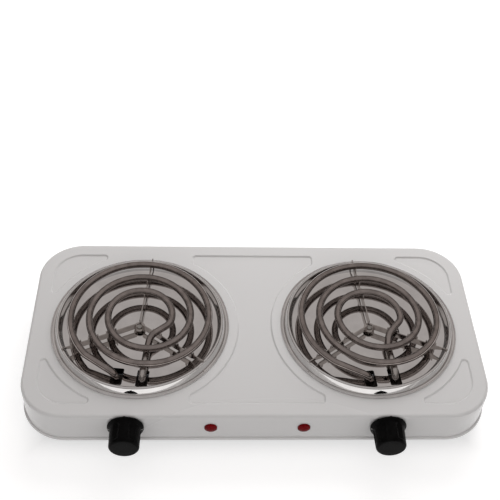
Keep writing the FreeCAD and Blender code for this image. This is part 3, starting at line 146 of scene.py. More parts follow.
class HotPlateSizes(bpy.types.PropertyGroup):
    """Sizes of the modelled pieces"""
    turn: FloatProperty(name="Burner turn", description="Each burner is turned outwards by this",
                        default=math.radians(6), subtype="ANGLE")
    pan_radius: length("Pan radius", "Outside of a drip pan", 0.085)
    pan_sheet: length("Pan sheet", "Thickness of the polished sheet", 0.0006)
    pan_flange: length("Pan flange", "Flat flange on the body", 0.0028)
    pan_flank: length("Pan flank", "Outward lean of the rim's flank", 0.0024)
    pan_roll: length("Pan roll", "Radius of the rolled edge", 0.0007)
    roll_lift: length("Roll lift", "Centre of the rolled edge over the flange", 0.0000875)
    crest_height: length("Crest height", "Top of the rim over the body", 0.0075)
    crest_radius: length("Crest radius", "Rounding of the rim", 0.0017)
    floor_radius: length("Floor radius", "Flat floor of the pan", 0.0735)
    wall_bend: length("Wall bend", "Bend from the pan's floor to its steep wall", 0.002)
    floor_sink: length("Floor sink", "Pan floor below the body's top", 0.0005)
    seat: length("Seat gap", "Gap between clamped pieces", 0.00005)
    hole_width: length("Hole width", "Terminal hole in the pan", 0.011)
    hole_near: length("Hole near", "Near side of a terminal hole", 0.0525)
    hole_far: length("Hole far", "Far side of a terminal hole", 0.071)
    hole_corner: length("Hole corner", "Rounded corners of a terminal hole", 0.0015)
    screw_hole: length("Screw hole", "Radius of the hub screw's hole", 0.00215)
    hub_forward: length("Hub forward", "Support hub in front of the pan's centre", 0.005)
    pin_spacing: length("Pin spacing", "Tube end to tube end", 0.0234)
    pin_forward: length("Pin forward", "Tube ends in front of the pan's centre", 0.064)
    tube_radius: length("Tube radius", "Heating tube", 0.0033)
    tube_height: length("Tube height", "Tube centre over the body's top", 0.0125)
    tube_end: length("Tube end", "Tube ends below the body's top", 0.012)
    spiral_radius: length("Spiral radius", "Largest half turn", 0.0655)
    spiral_step: length("Spiral step", "Each half turn is smaller by this", 0.0088)
    spiral_back: length("Spiral back", "Spiral centre behind the pan's centre", 0.002)
    half_turns: IntProperty(name="Half turns", description="Half turns of the spiral, an odd number",
                            default=5)
    lead_radius: length("Lead radius", "Arc towards the outer terminal", 0.069)
    lead_angle: FloatProperty(name="Lead angle", description="Length of that arc",
                              default=math.radians(42), subtype="ANGLE")
    lead_run: length("Lead run", "Straight run after a spiral end", 0.007)
    lead_bend: length("Lead bend", "Bend of a tube end", 0.009)
    lead_ease: length("Lead ease", "Gentle bend in a lead", 0.014)
    lead_low: length("Lead low", "Leads over the body's top before they turn down", 0.0058)
    lead_dip: length("Lead dip", "Inner lead under the turns, over the body's top", 0.0047)
    cross_x: length("Cross side", "Inner lead leaves the spiral, sideways from the middle", 0.0135)
    cross_forward: length("Cross forward", "The same spot, in front of the pan's centre", 0.0215)
    dip_forward: length("Dip forward", "Lowest spot of the inner lead, in front of the pan's centre", 0.033)
    bright_forward: length("Bright forward", "The inner lead is bright from here on", 0.046)
    ring_points: IntProperty(name="Ring points", description="Points round the heating tube", default=28)
    knob_reach: length("Knob reach", "Front of a knob, out from the wall", 0.024)
    knob_gap: length("Knob gap", "Knob skirt to the wall", 0.001)
    skirt_radius: length("Skirt radius", "Knob skirt", 0.0164)
    skirt_rim: length("Skirt rim", "Straight edge of the skirt", 0.002)
    dial_length: length("Dial length", "Sloped dial of the knob", 0.0016)
    grip_radius: length("Grip radius", "Knob grip at the dial", 0.0142)
    grip_taper: length("Grip taper", "Grip gets smaller to the front", 0.0005)
    grip_round: length("Grip round", "Rounded front edge of the knob", 0.0025)
    flute_count: IntProperty(name="Flute count", description="Finger flutes round the grip", default=6)
    flute_radius: length("Flute radius", "Hollow and round ends of a flute", 0.006)
    flute_depth: length("Flute depth", "Flute below the grip", 0.0018)
    flute_rear: length("Flute rear", "Rear end's centre, in front of the dial", 0.0044)
    flute_front: length("Flute front", "Front end's centre, behind the front of the knob", 0.006)
    pocket_radius: length("Pocket radius", "Room for the bush nut inside the knob", 0.01048)
    pocket_floor: length("Pocket floor", "Bottom of that room, out from the wall", 0.008)
    bore_radius: length("Bore radius", "Spindle hole in the knob", 0.00305)
    bore_end: length("Bore end", "End of the spindle hole, out from the wall", 0.018)
    nub_width: length("Nub width", "Nub on the skirt", 0.0022)
    nub_height: length("Nub height", "Nub over the skirt", 0.0005)
    skirt_round: length("Skirt round", "Rounded edges of the skirt", 0.0006)
    edge_round: length("Edge round", "Rounded edges of the flutes and the nub", 0.0003)
    numeral_size: length("Numeral size", "Height of the numbers on the dial", 0.0021)
    numeral_relief: length("Numeral relief", "Half thickness of the numbers", 0.000042)
    numeral_count: IntProperty(name="Numeral count", description="Numbers on the dial", default=5)
    numeral_start: FloatProperty(name="Numeral start", description="One step before the first number",
                                 default=math.radians(45), subtype="ANGLE")
    numeral_step: FloatProperty(name="Numeral step", description="Turn from number to number",
                                default=math.radians(45), subtype="ANGLE")


class HotPlateColours(bpy.types.PropertyGroup):
    """Colours of the finishes"""
    enamel: colour("Enamel", "Body", (0.632, 0.628, 0.627))
    steel: colour("Polished steel", "Drip pans", (0.70, 0.685, 0.676))
    tube: colour("Heating tube", "Oxidised sheath", (0.30, 0.262, 0.246))
    # Pale sheath for the inner lead's end: partly bare metal, partly a painted highlight
    tube_bare: colour("Bare tube", "Pale cold ends of the tube", (0.50, 0.47, 0.45))
    support: colour("Support", "Upright strips under the tube", (0.42, 0.39, 0.37))
    knob: colour("Knob", "Moulded plastic", (0.0032, 0.0031, 0.0031))
    numerals: colour("Numerals", "Print on the dial", (0.80, 0.80, 0.78))
    lens: colour("Lens", "Lamp", (0.150, 0.001, 0.003))
    rubber: colour("Rubber", "Feet and gland", (0.020, 0.020, 0.021))
    zinc: colour("Zinc", "Base plate and inner sheet parts", (0.50, 0.51, 0.52))
    # Painted shade: near black for the sheet parts that sit in shade under the burners
    blackened: colour("Blackened", "Sheet parts under the burners", (0.030, 0.027, 0.026))
    screw: colour("Screws", "Screws and nuts", (0.60, 0.59, 0.58))
    # Painted shade: the terminal blocks are coloured near black because they sit in shade below the pans' holes
    ceramic: colour("Ceramic", "Terminal blocks", (0.016, 0.012, 0.010))
    brass: colour("Brass", "Flat blades of the regulators", (0.66, 0.50, 0.24))
    spindle: colour("Spindle", "Spindles and bushes", (0.56, 0.56, 0.56))
    regulator: colour("Regulator", "Regulator cases", (0.10, 0.07, 0.055))
    lamp_case: colour("Lamp case", "Bodies of the lamps", (0.76, 0.74, 0.68))
    wire_sleeve: colour("Wire sleeve", "Wires of the burners", (0.62, 0.58, 0.48))
    lead_sleeve: colour("Lead sleeve", "Leads of the lamps", (0.50, 0.06, 0.05))
    gland: colour("Gland", "Lock ring of the gland", (0.04, 0.04, 0.04))
    mains: colour("Mains block", "Terminal case of the cord", (0.80, 0.79, 0.74))
    earth_sleeve: colour("Earth sleeve", "Earth wire", (0.22, 0.46, 0.10))
    heated: colour("Heated screw", "Screws in the middle of the burners", (0.34, 0.32, 0.30))
    floor: colour("Floor", "Stage", (0.62, 0.62, 0.62))


def sizes():
    """The scene's own size settings."""
    return bpy.context.scene.hot_plate_sizes


def colours():
    """The scene's own colour settings."""
    return bpy.context.scene.hot_plate_colours


# Materials


class Finish:
    """A material under construction: its nodes and links, with a Principled shader at the end."""

    def __init__(self, name):
        self.material = bpy.data.materials.new(name)
        self.material.use_nodes = True
        self.tree = self.material.node_tree
        self.tree.nodes.clear()
        output = self.add("ShaderNodeOutputMaterial")
        self.shader = self.add("ShaderNodeBsdfPrincipled")
        self.link(self.shader.outputs[0], output.inputs[0])
        self.place = self.add("ShaderNodeTexCoord").outputs["Object"]

    def add(self, kind, **settings):
        """A node with its settings."""
        node = self.tree.nodes.new(kind)
        for key, value in settings.items():
            setattr(node, key, value)
        return node

    def link(self, start, end):
        """Join two sockets."""
        self.tree.links.new(start, end)

    def set(self, **values):
        """Constant values on the shader's own sockets, with _ for a space."""
        for key, value in values.items():
            socket = self.shader.inputs[key.replace("_", " ")]
            socket.default_value = (*value, 1) if hasattr(value, "__len__") else value

    def calculate(self, operation, first, second):
        """Number worked out from two sockets."""
        node = self.add("ShaderNodeMath", operation=operation)
        self.link(first, node.inputs[0])
        self.link(second, node.inputs[1])
        return node.outputs[0]

    def noise(self, scale, detail):
        """Noise on object coordinates, given in cells per metre."""
        texture = self.add("ShaderNodeTexNoise")
        texture.inputs["Scale"].default_value = scale
        texture.inputs["Detail"].default_value = detail
        texture.inputs["Roughness"].default_value = NOISE_ROUGHNESS
        self.link(self.place, texture.inputs["Vector"])
        return texture.outputs["Fac"]

    def ramp(self, source, low, high):
        """Colour between two ends, over the middle of the noise."""
        node = self.add("ShaderNodeValToRGB")
        for stop, spot, tone in zip(node.color_ramp.elements, TINT_ENDS, (low, high)):
            stop.position = spot
            stop.color = (*tone, 1)
        self.link(source, node.inputs[0])
        return node.outputs[0]

    def spread(self, source, low, high):
        """Number between two ends, over the middle of the noise."""
        node = self.add("ShaderNodeMapRange")
        node.inputs["From Min"].default_value = GLOSS_ENDS[0]
        node.inputs["From Max"].default_value = GLOSS_ENDS[1]
        node.inputs["To Min"].default_value = low
        node.inputs["To Max"].default_value = high
        self.link(source, node.inputs[0])
        return node.outputs[0]

    def bump(self, source, strength, distance):
        """Surface relief in metres."""
        node = self.add("ShaderNodeBump")
        node.inputs["Strength"].default_value = strength
        node.inputs["Distance"].default_value = distance
        self.link(source, node.inputs["Height"])
        self.link(node.outputs[0], self.shader.inputs["Normal"])

    def tint(self, base, amount, source):
        """Base colour that varies a little darker and lighter."""
        low = [max(0, channel * (1 - amount)) for channel in base]
        high = [min(1, channel * (1 + amount)) for channel in base]
        self.link(self.ramp(source, low, high), self.shader.inputs["Base Color"])

    def gloss(self, source, low, high):
        """Roughness that varies between two ends."""
        self.link(self.spread(source, low, high), self.shader.inputs["Roughness"])


def enamel_finish():
    """Baked white enamel with a faint orange peel."""
    finish = Finish("white_enamel")
    finish.tint(colours().enamel, amount=0.008, source=finish.noise(scale=2.5, detail=0))
    finish.gloss(finish.noise(scale=3, detail=0), low=0.26, high=0.28)
    finish.bump(finish.noise(scale=900, detail=1), strength=0.003, distance=0.0002)
    finish.set(Coat_Weight=0.35, Coat_Roughness=0.10)
    return finish.material


def polished_finish():
    """Pressed stainless sheet, polished, with faint pressing waves and wiping marks."""
    finish = Finish("polished_steel")
    finish.tint(colours().steel, amount=0.05, source=finish.noise(scale=60, detail=3))
    finish.gloss(finish.noise(scale=240, detail=4), low=0.03, high=0.07)
    finish.bump(finish.noise(scale=70, detail=2), strength=0.04, distance=0.0004)
    finish.set(Metallic=1.0)
    return finish.material


def tube_finish():
    """Heating sheath, browned by heat, smooth and slightly mottled."""
    finish = Finish("heated_sheath")
    finish.tint(colours().tube, amount=0.16, source=finish.noise(scale=140, detail=5))
    finish.gloss(finish.noise(scale=300, detail=4), low=0.09, high=0.15)
    finish.bump(finish.noise(scale=1800, detail=3), strength=0.03, distance=0.0002)
    finish.set(Metallic=1.0)
    return finish.material


def bright_tube_finish():
    """Inner lead's end of the sheath, pale and bright: partly bare metal, partly a painted highlight."""
    finish = Finish("bright_sheath")
    finish.tint(colours().tube_bare, amount=0.10, source=finish.noise(scale=200, detail=3))
    finish.gloss(finish.noise(scale=400, detail=3), low=0.18, high=0.28)
    finish.set(Metallic=1.0)
    return finish.material


def metal_finish(name, base, rough):
    """Plain metal with a fine grain."""
    finish = Finish(name)
    finish.tint(base, amount=0.12, source=finish.noise(scale=160, detail=4))
    finish.gloss(finish.noise(scale=900, detail=3), low=rough * 0.8, high=rough * 1.25)
    finish.bump(finish.noise(scale=1800, detail=2), strength=0.08, distance=0.0002)
    finish.set(Metallic=1.0)
    return finish.material


def moulded_finish(name, base, rough, grain=1400):
    """Moulded plastic, rubber or ceramic with a fine skin."""
    finish = Finish(name)
    finish.tint(base, amount=0.14, source=finish.noise(scale=180, detail=3))
    finish.gloss(finish.noise(scale=grain, detail=3), low=rough * 0.85, high=rough * 1.15)
    finish.bump(finish.noise(scale=grain, detail=2), strength=0.10, distance=0.00015)
    return finish.material


def knob_finish():
    """Glossy black moulding with a faint moulded skin."""
    finish = Finish("knob_plastic")
    finish.tint(colours().knob, amount=0.25, source=finish.noise(scale=220, detail=3))
    finish.gloss(finish.noise(scale=900, detail=3), low=0.20, high=0.28)
    finish.bump(finish.noise(scale=1400, detail=2), strength=0.06, distance=0.00015)
    finish.set(Specular_IOR_Level=0.03)
    return finish.material


def lens_finish():
    """Deep red lamp lens."""
    finish = Finish("red_lens")
    finish.tint(colours().lens, amount=0.18, source=finish.noise(scale=500, detail=2))
    finish.gloss(finish.noise(scale=700, detail=2), low=0.12, high=0.20)
    finish.set(Specular_IOR_Level=0.06)
    return finish.material


def dress(node, material):
    """Give a carried-over node its finish."""
    mesh = frame["nodes"][node].data
    mesh.materials.clear()
    mesh.materials.append(material)


# Modelling helpers


def deselect():
    """Leave edit mode and select nothing."""
    if bpy.context.object and bpy.context.object.mode != "OBJECT":
        bpy.ops.object.mode_set(mode="OBJECT")
    bpy.ops.object.select_all(action="DESELECT")


def pick(piece):
    """Select one piece alone and make it the active one."""
    deselect()
    piece.select_set(True)
    bpy.context.view_layer.objects.active = piece


def settle():
    """Leave edit mode and put the active piece's place into its mesh."""
    bpy.ops.object.mode_set(mode="OBJECT")
    bpy.ops.object.transform_apply(location=True, rotation=True, scale=True)
    return bpy.context.object


def copy_to(model, matrix):
    """Copy of a modelled piece, with a mesh of its own, set at a place and active."""
    pick(model)
    bpy.ops.object.duplicate()
    copy = bpy.context.object
    copy.matrix_world = matrix
    return copy


def remove(piece):
    """Delete a piece that was only needed on the way."""
    pick(piece)
    bpy.ops.object.delete()


def combine(piece, others, operation="DIFFERENCE"):
    """Cut other pieces out of a piece, or join them to it, and delete them."""
    for other in others:
        pick(piece)
        modifier = piece.modifiers.new("combine", "BOOLEAN")
        modifier.operation = operation
        modifier.solver = "EXACT"
        modifier.object = other
        bpy.ops.object.modifier_apply(modifier=modifier.name)
        remove(other)
    pick(piece)


def finish_piece(name, body, material, nodes=(), smooth=35):
    """Name the active piece, put its place into its mesh, smooth it and tie it to its body."""
    piece = settle()
    piece.name = name
    piece.data.name = name
    bpy.ops.object.shade_smooth_by_angle(angle=math.radians(smooth))
    piece.data.materials.clear()
    piece.data.materials.append(material)
    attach(piece, body)
    if nodes:
        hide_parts(*nodes)
    return piece


def burner_matrix(side):
    """From a burner's own frame, at the pan's centre on the body's top, to the frame of the whole."""
    return (Matrix.Translation((BURNER_X * side, BURNER_Y, BODY_TOP))
            @ Matrix.Rotation(sizes().turn * side, 4, "Z"))


def start_vertex(point):
    """New mesh of one vertex at a point, in edit mode and selected."""
    deselect()
    bpy.ops.mesh.primitive_plane_add(size=0.001, location=point, enter_editmode=True)
    bpy.ops.mesh.select_all(action="SELECT")
    bpy.ops.mesh.merge(type="CENTER")


def extrude_by(step):
    """Extrude what is selected by a step."""
    bpy.ops.mesh.extrude_region_move(TRANSFORM_OT_translate={"value": step})


def close_skin(gap):
    """Merge the doubles of the mesh in edit mode, turn its faces outwards and settle it."""
    bpy.ops.mesh.select_all(action="SELECT")
    bpy.ops.mesh.remove_doubles(threshold=gap)
    bpy.ops.mesh.normals_make_consistent(inside=False)
    return settle()


def turn_profile(profile, steps):
    """Spin a profile of radius and height round the upright axis into a closed skin."""
    first = profile[0]
    start_vertex((first[0], 0, first[1]))
    for before, after in zip(profile, profile[1:]):
        extrude_by((after[0] - before[0], 0, after[1] - before[1]))
    bpy.ops.mesh.select_all(action="SELECT")
    bpy.ops.mesh.spin(steps=steps, angle=math.tau, center=(0, 0, 0), axis=(0, 0, 1))
    return close_skin(MERGE_PROFILE)


def arc_point(centre, radius, angle):
    """Point on an arc of a profile."""
    return (centre[0] + radius * math.cos(angle), centre[1] + radius * math.sin(angle))


def arc_points(centre, radius, first, last, count):
    """Points on an arc of a profile, without its first one."""
    return [arc_point(centre, radius, first + (last - first) * step / count) for step in range(1, count + 1)]


# Drip pans


def pan_profile():
    """Closed profile of the pressed sheet: upper side inwards, then the underside back out."""
    size = sizes()
    sheet = size.pan_sheet
    edge = size.pan_radius
    crest = size.crest_radius
    inside = crest - sheet
    flange_top = size.seat + sheet
    roll_z = flange_top + size.roll_lift
    floor_z = -size.floor_sink
    foot = Vector((edge - size.pan_flange, flange_top))
    rim = Vector((foot.x - size.pan_flank - crest, size.crest_height - crest))
    bend = Vector((size.floor_radius, floor_z + size.wall_bend))
    # The flank and the steep wall are tangents of the round rim
    to_rim = rim - foot
    lean = math.atan2(to_rim.y, to_rim.x) - math.asin(crest / to_rim.length)
    outward = lean - math.pi / 2
    across = rim - bend
    slope = math.atan2(across.y, across.x) + math.asin((size.wall_bend + crest) / across.length)
    meet = slope - math.pi / 2
    points = [(edge, size.seat), (edge, roll_z)]
    points += arc_points((edge - size.pan_roll, roll_z), size.pan_roll, 0, math.pi, ROLL_POINTS)
    points += [(edge - 2 * size.pan_roll, flange_top), (foot.x, foot.y), arc_point(rim, crest, outward)]
    points += arc_points(rim, crest, outward, meet + math.pi, CREST_POINTS)
    points += [arc_point(bend, size.wall_bend, meet)]
    points += arc_points(bend, size.wall_bend, meet, -math.pi / 2, BEND_POINTS)
    points += [(size.floor_radius * share, floor_z) for share in FLOOR_RINGS]
    points += [(0, floor_z), (0, floor_z - sheet), (size.floor_radius, floor_z - sheet)]
    points += arc_points(bend, size.wall_bend + sheet, -math.pi / 2, meet, BEND_UNDER_POINTS)
    points += [arc_point(rim, inside, meet + math.pi)]
    points += arc_points(rim, inside, meet + math.pi, outward, CREST_UNDER_POINTS)
    inner = Vector(points[-1])
    drop = (inner.y - size.seat) / math.sin(lean)
    points += [(inner.x - drop * math.cos(lean), size.seat), points[0]]
    return points


def cutter_box(low, high, rounding):
    """Block that cuts a hole with rounded corners."""
    deselect()
    bpy.ops.mesh.primitive_cube_add(size=1, enter_editmode=True)
    block = bpy.context.object
    extent = high - low
    bpy.ops.transform.resize(value=extent)
    bpy.ops.transform.translate(value=(low + high) / 2)
    bpy.ops.mesh.select_all(action="DESELECT")
    bpy.ops.object.mode_set(mode="OBJECT")
    for edge in block.data.edges:
        ends = [block.data.vertices[index].co for index in edge.vertices]
        edge.select = abs(ends[0].z - ends[1].z) > extent.z / 2
    bpy.ops.object.mode_set(mode="EDIT")
    bpy.ops.mesh.bevel(offset=rounding, segments=HOLE_CORNER_STEPS)
    return settle()


def cutter_round(radius, place, depth):
    """Bar that cuts a round hole."""
    deselect()
    bpy.ops.mesh.primitive_cylinder_add(vertices=HOLE_POINTS, radius=radius, depth=depth, location=place)
    return settle()


class HOTPLATE_OT_drip_pans(bpy.types.Operator):
    """Turn a polished drip pan, cut its holes and set a copy under each burner"""
    bl_idname = "hot_plate.drip_pans"
    bl_label = "Drip Pans"

    def execute(self, context):
        size = sizes()
        material = polished_finish()
        pan = turn_profile(pan_profile(), PAN_STEPS)
        middle = -size.pin_spacing / 2
        low = Vector((middle - size.hole_width / 2, -size.hole_far, -CUT_UNDER))
        high = Vector((middle + size.hole_width / 2, -size.hole_near, CUT_OVER))
        outer_hole = cutter_box(low, high, size.hole_corner)
        inner_hole = copy_to(outer_hole, Matrix.Translation((size.pin_spacing, 0, 0)))
        screw_hole = cutter_round(size.screw_hole, (0, -size.hub_forward, -size.floor_sink), DRILL_LENGTH)
        combine(pan, [outer_hole, inner_hole, screw_hole])
        for name, side in SIDES:
            copy_to(pan, burner_matrix(side))
            finish_piece("pan_" + name, "housing", material,
                         ["drip_pan_" + name], smooth=30)
        remove(pan)
        return {"FINISHED"}


# Heating tubes


def spin_by(angle, centre, axis, radius):
    """Sweep the selected ring round an axis, by the right-hand rule, in short steps."""
    steps = max(SWEEP_LEAST, int(abs(angle) * radius / SWEEP_STEP))
    bpy.ops.mesh.spin(steps=steps, angle=-angle, center=centre, axis=axis)


def sweep_runs(points, radii):
    """Sweep the selected ring along straight runs with a tangent arc at each inner point."""
    here = points[0]
    for index, radius in enumerate(radii, start=1):
        corner = points[index]
        before = (points[index - 1] - corner).normalized()
        after = (points[index + 1] - corner).normalized()
        half = before.angle(after) / 2
        reach = radius / math.tan(half)
        start = corner + before * reach
        extrude_by(start - here)
        centre = corner + (before + after).normalized() * (radius / math.sin(half))
        spin_by(math.pi - 2 * half, centre, after.cross(before).normalized(), radius)
        here = corner + after * reach
    extrude_by(points[-1] - here)


def wind_tube():
    """Heating tube in its burner's own frame, swept from the outer terminal to the inner one."""
    size = sizes()
    up = Vector((0, 0, 1))
    pin_x = size.pin_spacing / 2
    lead_end = math.pi + size.lead_angle
    lead_centre = Vector((size.lead_radius - size.spiral_radius, size.spiral_back, size.tube_height))
    join = lead_centre + size.lead_radius * Vector((math.cos(lead_end), math.sin(lead_end), 0))
    away = Vector((-math.sin(lead_end), math.cos(lead_end), 0))
    start = Vector((-pin_x, -size.pin_forward, -size.tube_end))
    bend = Vector((-pin_x, -size.pin_forward, size.lead_low))
    deselect()
    bpy.ops.mesh.primitive_circle_add(vertices=size.ring_points, radius=size.tube_radius,
                                      fill_type="NGON", location=start, enter_editmode=True)
    bpy.ops.mesh.select_all(action="SELECT")
    sweep_runs([start, bend, join + away * size.lead_run, join], [size.lead_bend, size.lead_ease])
    spin_by(-size.lead_angle, lead_centre, up, size.lead_radius)
    for half in range(size.half_turns):
        radius = size.spiral_radius - half * size.spiral_step
        centre = Vector((size.spiral_step * (half % 2), size.spiral_back, size.tube_height))
        spin_by(-math.pi, centre, up, radius)
    last = Vector((radius, size.spiral_back, size.tube_height))
    inner = [last, last - Vector((0, size.lead_run, 0)),
             Vector((size.cross_x, -size.cross_forward, size.tube_height)),
             Vector((pin_x, -size.dip_forward, size.lead_dip)),
             Vector((pin_x, -size.pin_forward, size.lead_low)),
             Vector((pin_x, -size.pin_forward, -size.tube_end))]
    sweep_runs(inner, [size.lead_ease, size.lead_ease, size.lead_ease, size.lead_bend])
    return close_skin(MERGE_TUBE)


class HOTPLATE_OT_heating_tubes(bpy.types.Operator):
    """Wind a heating tube from one terminal to the other and set a copy on each burner"""
    bl_idname = "hot_plate.heating_tubes"
    bl_label = "Heating Tubes"

    def execute(self, context):
        size = sizes()
        sheath = tube_finish()
        bright = bright_tube_finish()
        model = wind_tube()
        for name, side in SIDES:
            matrix = burner_matrix(side)
            copy_to(model, matrix)
            tube = finish_piece("tube_" + name, "housing", sheath,
                                ["heating_coil_" + name], smooth=50)
            tube.data.materials.append(bright)
            # Only the inner lead's end gets the pale sheath: partly bare metal, partly a painted highlight
            back = matrix.inverted()
            for face in tube.data.polygons:
                spot = back @ face.center
                under = spot.z < size.lead_low + size.tube_radius
                bare_and_highlight = under and spot.x > 0 and spot.y < -size.bright_forward
                face.material_index = 1 if bare_and_highlight else 0
        remove(model)
        return {"FINISHED"}


# Knobs


def dial_lean():
    """Angle between a knob's axis and its sloped dial."""
    size = sizes()
    return math.atan2(size.skirt_radius - size.grip_radius, size.dial_length)


def knob_profile():
    """Profile of a knob as radius and distance from the wall, from its spindle hole round to its front."""
    size = sizes()
    skirt = size.skirt_radius
    back = size.knob_gap
    edge = size.skirt_round
    rim = back + size.skirt_rim
    dial = rim + size.dial_length
    front = size.grip_radius - size.grip_taper
    shoulder = size.knob_reach - size.grip_round
    points = [(0, size.bore_end), (size.bore_radius, size.bore_end), (size.bore_radius, size.pocket_floor),
              (size.pocket_radius, size.pocket_floor), (size.pocket_radius, back), (skirt - edge, back)]
    points += arc_points((skirt - edge, back + edge), edge, -math.pi / 2, 0, SKIRT_POINTS)
    points += [(skirt, rim - edge)]
    points += arc_points((skirt - edge, rim - edge), edge, 0, dial_lean(), SKIRT_POINTS)
    points += [(size.grip_radius, dial)]
    for share in GRIP_RINGS:
        points.append((size.grip_radius - size.grip_taper * share, dial + (shoulder - dial) * share))
    corner = (front - size.grip_round, shoulder)
    points += arc_points(corner, size.grip_round, 0, math.pi / 2, GRIP_ROUND_POINTS)
    points += [(front / 2, size.knob_reach), (0, size.knob_reach)]
    return points


def flute_profile():
    """Profile of a round ended bar that cuts one finger flute."""
    size = sizes()
    first = size.knob_gap + size.skirt_rim + size.dial_length + size.flute_rear
    last = size.knob_reach - size.flute_front
    points = [(0, first - size.flute_radius)]
    points += arc_points((0, first), size.flute_radius, -math.pi / 2, 0, FLUTE_END_POINTS)
    points += arc_points((0, last), size.flute_radius, 0, math.pi / 2, FLUTE_END_POINTS)
    return points


def model_nub():
    """Nub that stands out of a knob's skirt, with rounded edges."""
    size = sizes()
    tall = size.skirt_radius - size.grip_radius + size.nub_height
    deselect()
    bpy.ops.mesh.primitive_cube_add(size=1, enter_editmode=True)
    bpy.ops.transform.resize(value=(size.nub_width, tall, size.skirt_rim))
    middle = (0, size.grip_radius + tall / 2, size.knob_gap + size.skirt_rim / 2)
    bpy.ops.transform.translate(value=middle)
    bpy.ops.mesh.bevel(offset=size.edge_round, segments=NUB_EDGE_STEPS, affect="EDGES")
    return settle()


def model_knob():
    """Knob in its own frame, with its axis upright and the wall at zero height."""
    size = sizes()
    away = size.grip_radius + size.flute_radius - size.flute_depth
    knob = turn_profile(knob_profile(), KNOB_STEPS)
    flute = turn_profile(flute_profile(), FLUTE_STEPS)
    flutes = []
    for index in range(size.flute_count):
        angle = math.tau * (index + 0.5) / size.flute_count
        spot = Matrix.Translation((away * math.sin(angle), away * math.cos(angle), 0))
        flutes.append(copy_to(flute, spot))
    remove(flute)
    combine(knob, flutes)
    combine(knob, [model_nub()], "UNION")
    rounding = knob.modifiers.new("rounding", "BEVEL")
    rounding.width = size.edge_round
    rounding.segments = KNOB_EDGE_STEPS
    rounding.limit_method = "ANGLE"
    rounding.angle_limit = KNOB_EDGE_ANGLE
    bpy.ops.object.modifier_apply(modifier=rounding.name)
    return knob


def add_numeral(number, angle):
    """Number on the dial, flat on its slope, as a mesh in the knob's own frame."""
    size = sizes()
    middle = (size.skirt_radius + size.grip_radius) / 2
    height = size.knob_gap + size.skirt_rim + size.dial_length / 2
    deselect()
    bpy.ops.object.text_add()
    text = bpy.context.object.data
    text.body = str(number)
    text.size = size.numeral_size
    text.align_x = "CENTER"
    text.align_y = "CENTER"
    text.extrude = size.numeral_relief
    bpy.ops.object.convert(target="MESH")
    tilt = Matrix.Rotation(dial_lean() - math.pi / 2, 4, "X")
    outward = Matrix.Translation((0, middle, height + size.numeral_relief))
    bpy.context.object.matrix_world = Matrix.Rotation(-angle, 4, "Z") @ outward @ tilt
    return settle()


def print_dial():
    """All numbers of a dial in one mesh, in the knob's own frame."""
    size = sizes()
    numerals = []
    for number in range(1, size.numeral_count + 1):
        numerals.append(add_numeral(number, size.numeral_start + size.numeral_step * number))
    pick(numerals[0])
    for numeral in numerals:
        numeral.select_set(True)
    bpy.ops.object.join()
    return settle()


class HOTPLATE_OT_knobs(bpy.types.Operator):
    """Turn a knob, cut its finger flutes, print its dial and set a copy on each spindle"""
    bl_idname = "hot_plate.knobs"
    bl_label = "Knobs"

    def execute(self, context):
        plastic = knob_finish()
        white_print = moulded_finish("dial_print", colours().numerals, rough=0.5)
        knob = model_knob()
        dial = print_dial()
        for (name, _), place in zip(SIDES, KNOBS):
            matrix = Matrix.Translation(place) @ Matrix.Rotation(math.pi / 2, 4, "X")
            body = "control_" + name
            copy_to(knob, matrix)
            finish_piece("grip_" + name, body, plastic, ["knob_" + name], smooth=40)
            copy_to(dial, matrix)
            finish_piece("numerals_" + name, body, white_print)
        remove(knob)
        remove(dial)
        return {"FINISHED"}


# Finishes of the carried-over nodes


class HOTPLATE_OT_finishes(bpy.types.Operator):
    """Give every carried-over node its own finish"""
    bl_idname = "hot_plate.finishes"
    bl_label = "Finishes"

    def execute(self, context):
        paint = colours()
        by_slot = {
            "enamel": enamel_finish(),
            "zinc": metal_finish("zinc_sheet", paint.zinc, rough=0.38),
            "rubber": moulded_finish("foot_rubber", paint.rubber, rough=0.62, grain=800),
            "screw_steel": metal_finish("screw_steel", paint.screw, rough=0.24),
            "polished_steel": polished_finish(),
            "heater_tube": tube_finish(),
            "support_steel": metal_finish("support_strip", paint.support, rough=0.10),
            # Painted shade: terminal blocks near black, as they lie in shade under the holes
            "ceramic": moulded_finish("block_ceramic_painted_shade", paint.ceramic, rough=0.85),
            "terminal_metal": metal_finish("terminal_brass", paint.brass, rough=0.28),
            "knob_plastic": knob_finish(),
            "spindle_steel": metal_finish("spindle_steel", paint.spindle, rough=0.30),
            "regulator_plastic": moulded_finish("regulator_case", paint.regulator, rough=0.48),
            "lamp_red": lens_finish(),
            "lamp_case": moulded_finish("lamp_case", paint.lamp_case, rough=0.45),
            "wire_sleeve": moulded_finish("wire_sleeve", paint.wire_sleeve, rough=0.75, grain=2400),
            "lead_sleeve": moulded_finish("lead_sleeve", paint.lead_sleeve, rough=0.50),
            "gland_plastic": moulded_finish("gland_plastic", paint.gland, rough=0.42),
            "mains_plastic": moulded_finish("mains_case", paint.mains, rough=0.45),
            "earth_sleeve": moulded_finish("earth_sleeve", paint.earth_sleeve, rough=0.50),
        }
        for part in frame["record"]["subparts"]:
            dress(part["node"], by_slot[part["material_slot"]])
        # Painted shade: the sheet parts and pins right under the burners are coloured near black because they sit
        # in shade under the pans
        blackened = metal_finish("painted_shade_sheet", paint.blackened, rough=0.55)
        for name, _ in SIDES:
            for stem in ("terminal_bracket_", "burner_bridge_", "coil_pins_"):
                dress(stem + name, blackened)
        dress("hub_screws", metal_finish("heated_screw", paint.heated, rough=0.14))
        return {"FINISHED"}


# Stage: floor, sky, lamps and camera


